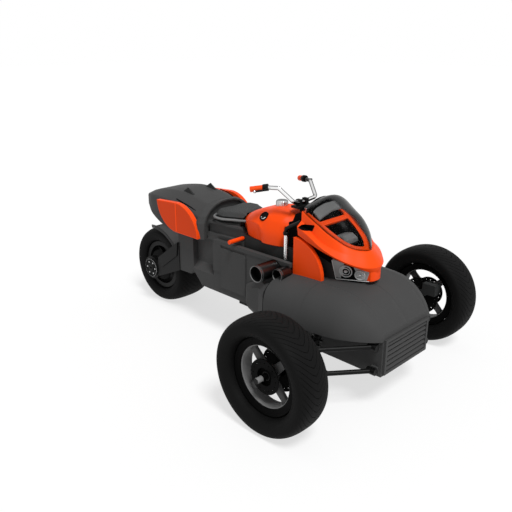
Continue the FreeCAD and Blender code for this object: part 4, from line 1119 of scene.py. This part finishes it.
def plug(x, y):
    """A low disc that ends 1 mm over the deck's crown."""
    crown_x, crown_z = np.array(tail_stations)[::-1, [0, 4]].T
    foot = (x, y, np.interp(x, crown_x, crown_z))
    profile = [(-8, 0), (-8, 10.5), (0, 10.5), (1, 9), (1, 0)]
    return lathe(profile, foot, (0, 0, 1), 32, closed=False)


def pyramid(x, y, z, length, width, height):
    """Four-sided point: a base rectangle and a short top edge."""
    corners = np.array([(-1, -1), (1, -1), (1, 1), (-1, 1)])
    base = np.insert((x, y) + corners * (length / 2, width / 2), 2, z, axis=1)
    top = np.insert((x, y) + corners * 2.0, 2, z + height, axis=1)
    return skin(np.stack([base, top]), wrap_columns=True, caps=True)


make_piece("tail_deck", skin(tail_grid(), wrap_columns=True, caps=True), "root", grey_enamel,
           26, ["tail"])
plugs = [plug(rack_middle_x + ahead * rack_half_x, aside * rack_half_y)
         for ahead in (-1, 1) for aside in (-1, 1)]
make_piece("rack_plugs", join(*plugs), "root", slate_enamel, 40)
make_piece("tail_fins", both(pyramid(-1388, -100, 878, 124, 16, 42)), "root", slate_enamel,
           20)
seam_path = [(-1395, -198, 858), (-1330, -203, 848), (-1262, -196, 830), (-1205, -190, 809)]
make_piece("tail_seams", both(tube(seam_path, 3.2, 24, 8)), "root", painted_shade_and_seam_black,
           40)
ribs = [tube([(-1215 + 22 * i, -222, 800 - 8 * i), (-1190 + 18 * i, -222, 740),
              (-1180 + 15 * i, -221, 690)], 4.5, 12, 8) for i in range(3)]
make_piece("tail_ribs", both(join(*ribs)), "root", grey_enamel, 40)


# %% [markdown]
# The rear guard has flat side plates that fill the space between its arch and the carrier; their
# outline is two arcs about the axle. Each hub cap is turned, with a rolled rim and six bright bolts
# round the open bore.

# %% Rear guard plates and hub caps
tyre_gap, guard_height = 7.0, 22.0
guard_radius = rear_size[1] + tyre_gap
rear_axle = np.array([rear_axle_x, rear_axle_z])
plate_outline = np.concatenate([
    arc(rear_axle, guard_radius, guard_radius, 40, 96, 20),
    arc(rear_axle, guard_radius + guard_height, guard_radius + guard_height, 96, 84, 6),
    rear_axle + [(110, 347), (316, 347), (322, 195)]])
make_piece("guard_plates", both(plate(plate_outline, -170.0, -160.0, "y", 1.5)), "root", rim_enamel,
           30)
cap_y, bolt_count, bolt_circle = -209.0, 6, 45.0
cap_centre, outwards = np.array([rear_axle_x, cap_y, rear_axle_z]), (0, -1, 0)
hub_cap_profile = [(0, 18), (0, 70), (8, 70), (11, 68), (12, 64), (10, 59), (6, 56), (6, 34),
                   (10, 31), (12, 27), (12, 18)]
bolt_profile = [(4, 0), (4, 6), (10, 6), (11.5, 4), (11.5, 0)]
turn = np.arange(bolt_count) * 2 * np.pi / bolt_count
bolt_feet = cap_centre + bolt_circle * np.stack([np.cos(turn), 0 * turn, np.sin(turn)], -1)
bolts = [lathe(bolt_profile, foot, outwards, 12, closed=False) for foot in bolt_feet]
bead = lathe(oval(1.6, 1.6, count=10) + (10.0, 66.0), cap_centre, outwards, 72)
make_piece("turned_hub_caps", both(lathe(hub_cap_profile, cap_centre, outwards, 72)), "root",
           black_plastic, 30, ["hub_caps"])
make_piece("hub_cap_bolts", both(join(bead, *bolts)), "root", turned_aluminium, 40)


# %% [markdown]
# Each front spring is a coil of round wire over a damper: a thick lower body with a seat for the
# coil, a thin rod, an upper seat. A screw modifier could wind the coil about an upright axis only;
# this one leans, so a circle is swept along a helix about the damper's axis.

# %% Springs
spring_foot, spring_head = np.array([-28.0, -430.0, 242.0]), np.array([-28.0, -249.0, 478.0])
spring_way = unit(spring_head - spring_foot)
spring_length = np.linalg.norm(spring_head - spring_foot)
coil_radius, wire_radius, coil_turns = 28.0, 5.5, 6.5


def coil(start, end):
    """Helix: point = foot + way * s + radius * (cos a * side + sin a * front)."""
    s = np.linspace(start, end, int(coil_turns * 20))[:, None]
    a = np.linspace(0, 2 * np.pi * coil_turns, len(s))[:, None]
    side = np.array([1.0, 0, 0])
    front = np.cross(spring_way, side)
    path = spring_foot + s * spring_way + coil_radius * (np.cos(a) * side + np.sin(a) * front)
    return sweep(path, oval(wire_radius, wire_radius, count=10), spring_way)


body_profile = [(18, 0), (18, 17), (22, 19), (66, 19), (68, 33), (74, 33), (76, 19), (170, 19),
                (174, 15), (174, 0)]
rod_profile = [(172, 0), (172, 8)] + [(spring_length - back, radius) for back, radius in (
    (22, 8), (22, 33), (14, 33), (12, 12), (1, 12), (1, 0))]
eye_profile = [(-15, 10.4), (-15, 18), (-13, 20), (13, 20), (15, 18), (15, 10.4)]
dampers = join(lathe(body_profile, spring_foot, spring_way, 48, closed=False),
               lathe(eye_profile, spring_foot, (1, 0, 0), 40),
               lathe(rod_profile, spring_foot, spring_way, 48, closed=False))
make_piece("spring_coils", both(coil(79, spring_length - 27)), "root", powder_coat,
           40, ["springs"])
make_piece("dampers", both(dampers), "root", powder_coat, 30)


# %% [markdown]
# Beside the tank stand two bright uprights. A black hook joins each to the end of the nose's wing,
# with a collar at the joint. Bent tube keeps its round section, so a circle is swept along a smooth
# line.

# %% Frame uprights and hooks
upright_x, upright_y = -425, -166
upright = tube([(upright_x, upright_y, z) for z in (664, 720, 780, 824)], 13.0, 12, 24, (1, 0, 0))
hook = tube([(upright_x, upright_y, 818), (upright_x, upright_y, 838), (-410, -165, 858),
             (-375, -164, 878), (-322, -161, 908)], 12.0, 24, 20, (0, 1, 0))
collar = lathe([(-9, 12), (-9, 17), (-7, 18.5), (7, 18.5), (9, 17), (9, 12)],
               (upright_x, upright_y, 822), (0, 0, 1), 32)
make_piece("frame_uprights", both(upright), "root", satin_chrome, 30,
           ["frame_tubes"])
make_piece("frame_hooks", both(join(hook, collar)), "root", powder_coat, 30)


# %% [markdown]
# The levers end in bright balls, so that a hand can't slip off. They ride on the handlebar.

# %% Lever ends
lever_tip, lever_ball_radius = (-618.0, -229.0, 1044.5), 9.0
make_piece("lever_balls", both(ball(lever_tip, lever_ball_radius)), "handlebar", chrome,
           40)


# %% [markdown]
# Studio: a pale floor, one soft sun from the front right, and an even pale sky. Area lamps and
# screens could stand round the car; one sun and a sky give the same shade with less noise. Camera,
# glossy and see-through rays meet a white background, the object itself gets the plain light. The
# floor's look mixes its own glow with what falls on it, so it keeps the car's shadow.

# %% Floor and light
def rays_to_background(tree):
    """1 for camera, glossy and transmission rays, 0 for the rays that light the object."""
    path = add(tree, "ShaderNodeLightPath", {})
    seen = path["Is Camera Ray"]
    for name in ("Is Glossy Ray", "Is Transmission Ray"):
        seen = add(tree, "ShaderNodeMath", {0: seen, 1: path[name]}, operation="MAXIMUM")[0]
    return seen


def pale_floor():
    """A big flat square. Seen by the camera it is 0.62 parts glow and 0.38 parts lit matte."""
    material = bpy.data.materials.new("pale_studio_floor")
    material.use_nodes = True
    tree = material.node_tree
    tree.nodes.clear()
    matte = add(tree, "ShaderNodeBsdfDiffuse", {"Color": (0.9, 0.9, 0.9, 1)})[0]
    glow = add(tree, "ShaderNodeEmission", {"Color": (1, 1, 1, 1), "Strength": 1.08})[0]
    seen = add(tree, "ShaderNodeMath", {0: rays_to_background(tree), 1: 0.62},
               operation="MULTIPLY")[0]
    add(tree, "ShaderNodeOutputMaterial", {
        "Surface": add(tree, "ShaderNodeMixShader", {0: seen, 1: matte, 2: glow})[0]})
    floor_mesh = bpy.data.meshes.new("studio_floor")
    reach = 40.0
    floor_mesh.from_pydata([(-reach, -reach, 0), (reach, -reach, 0), (reach, reach, 0),
                            (-reach, reach, 0)], [], [(0, 1, 2, 3)])
    floor_mesh.materials.append(material)
    linked(bpy.data.objects.new("studio_floor", floor_mesh))


def studio_light():
    """The sun's angle is how wide it looks, in degrees: the wider it is, the softer a shadow."""
    sun = bpy.data.lights.new("soft_sun", "SUN")
    sun.energy = 2.38
    sun.angle = math.radians(18)
    holder = linked(bpy.data.objects.new("soft_sun", sun))
    holder.rotation_euler = Vector((0.475, -0.198, 0.858)).to_track_quat("Z", "Y").to_euler()
    world = bpy.data.worlds.new("pale_sky")
    world.use_nodes = True
    tree = world.node_tree
    tree.nodes.clear()
    light = add(tree, "ShaderNodeBackground", {"Color": (1, 1, 1, 1), "Strength": 0.35})[0]
    shown = add(tree, "ShaderNodeBackground", {"Color": (1, 1, 1, 1), "Strength": 1.0})[0]
    seen = rays_to_background(tree)
    add(tree, "ShaderNodeOutputWorld", {
        "Surface": add(tree, "ShaderNodeMixShader", {0: seen, 1: light, 2: shown})[0]})
    bpy.context.scene.world = world


pale_floor()
studio_light()
print("sun", bpy.data.lights["soft_sun"].energy, "over a floor that glows")


# %% [markdown]
# The camera stands in front of the right side and looks along (-2, 2, -1), with a 45 degree field
# of view, as in the photo.

# %% Camera
def place_camera():
    """The lens is half the sensor over the tangent of half the field of view."""
    camera = bpy.data.cameras.new("camera")
    camera.sensor_width = 36.0
    camera.sensor_fit = "HORIZONTAL"
    camera.lens = 18.0 / math.tan(math.radians(22.5))
    camera.clip_end = 200.0
    holder = linked(bpy.data.objects.new("camera", camera))
    holder.location = (2.690, -2.688, 1.883)
    holder.rotation_euler = Vector((-2, 2, -1)).to_track_quat("-Z", "Y").to_euler()
    bpy.context.scene.camera = holder


place_camera()
bpy.context.scene.view_settings.view_transform = "Standard"
print("camera lens", round(bpy.context.scene.camera.data.lens, 2), "mm")
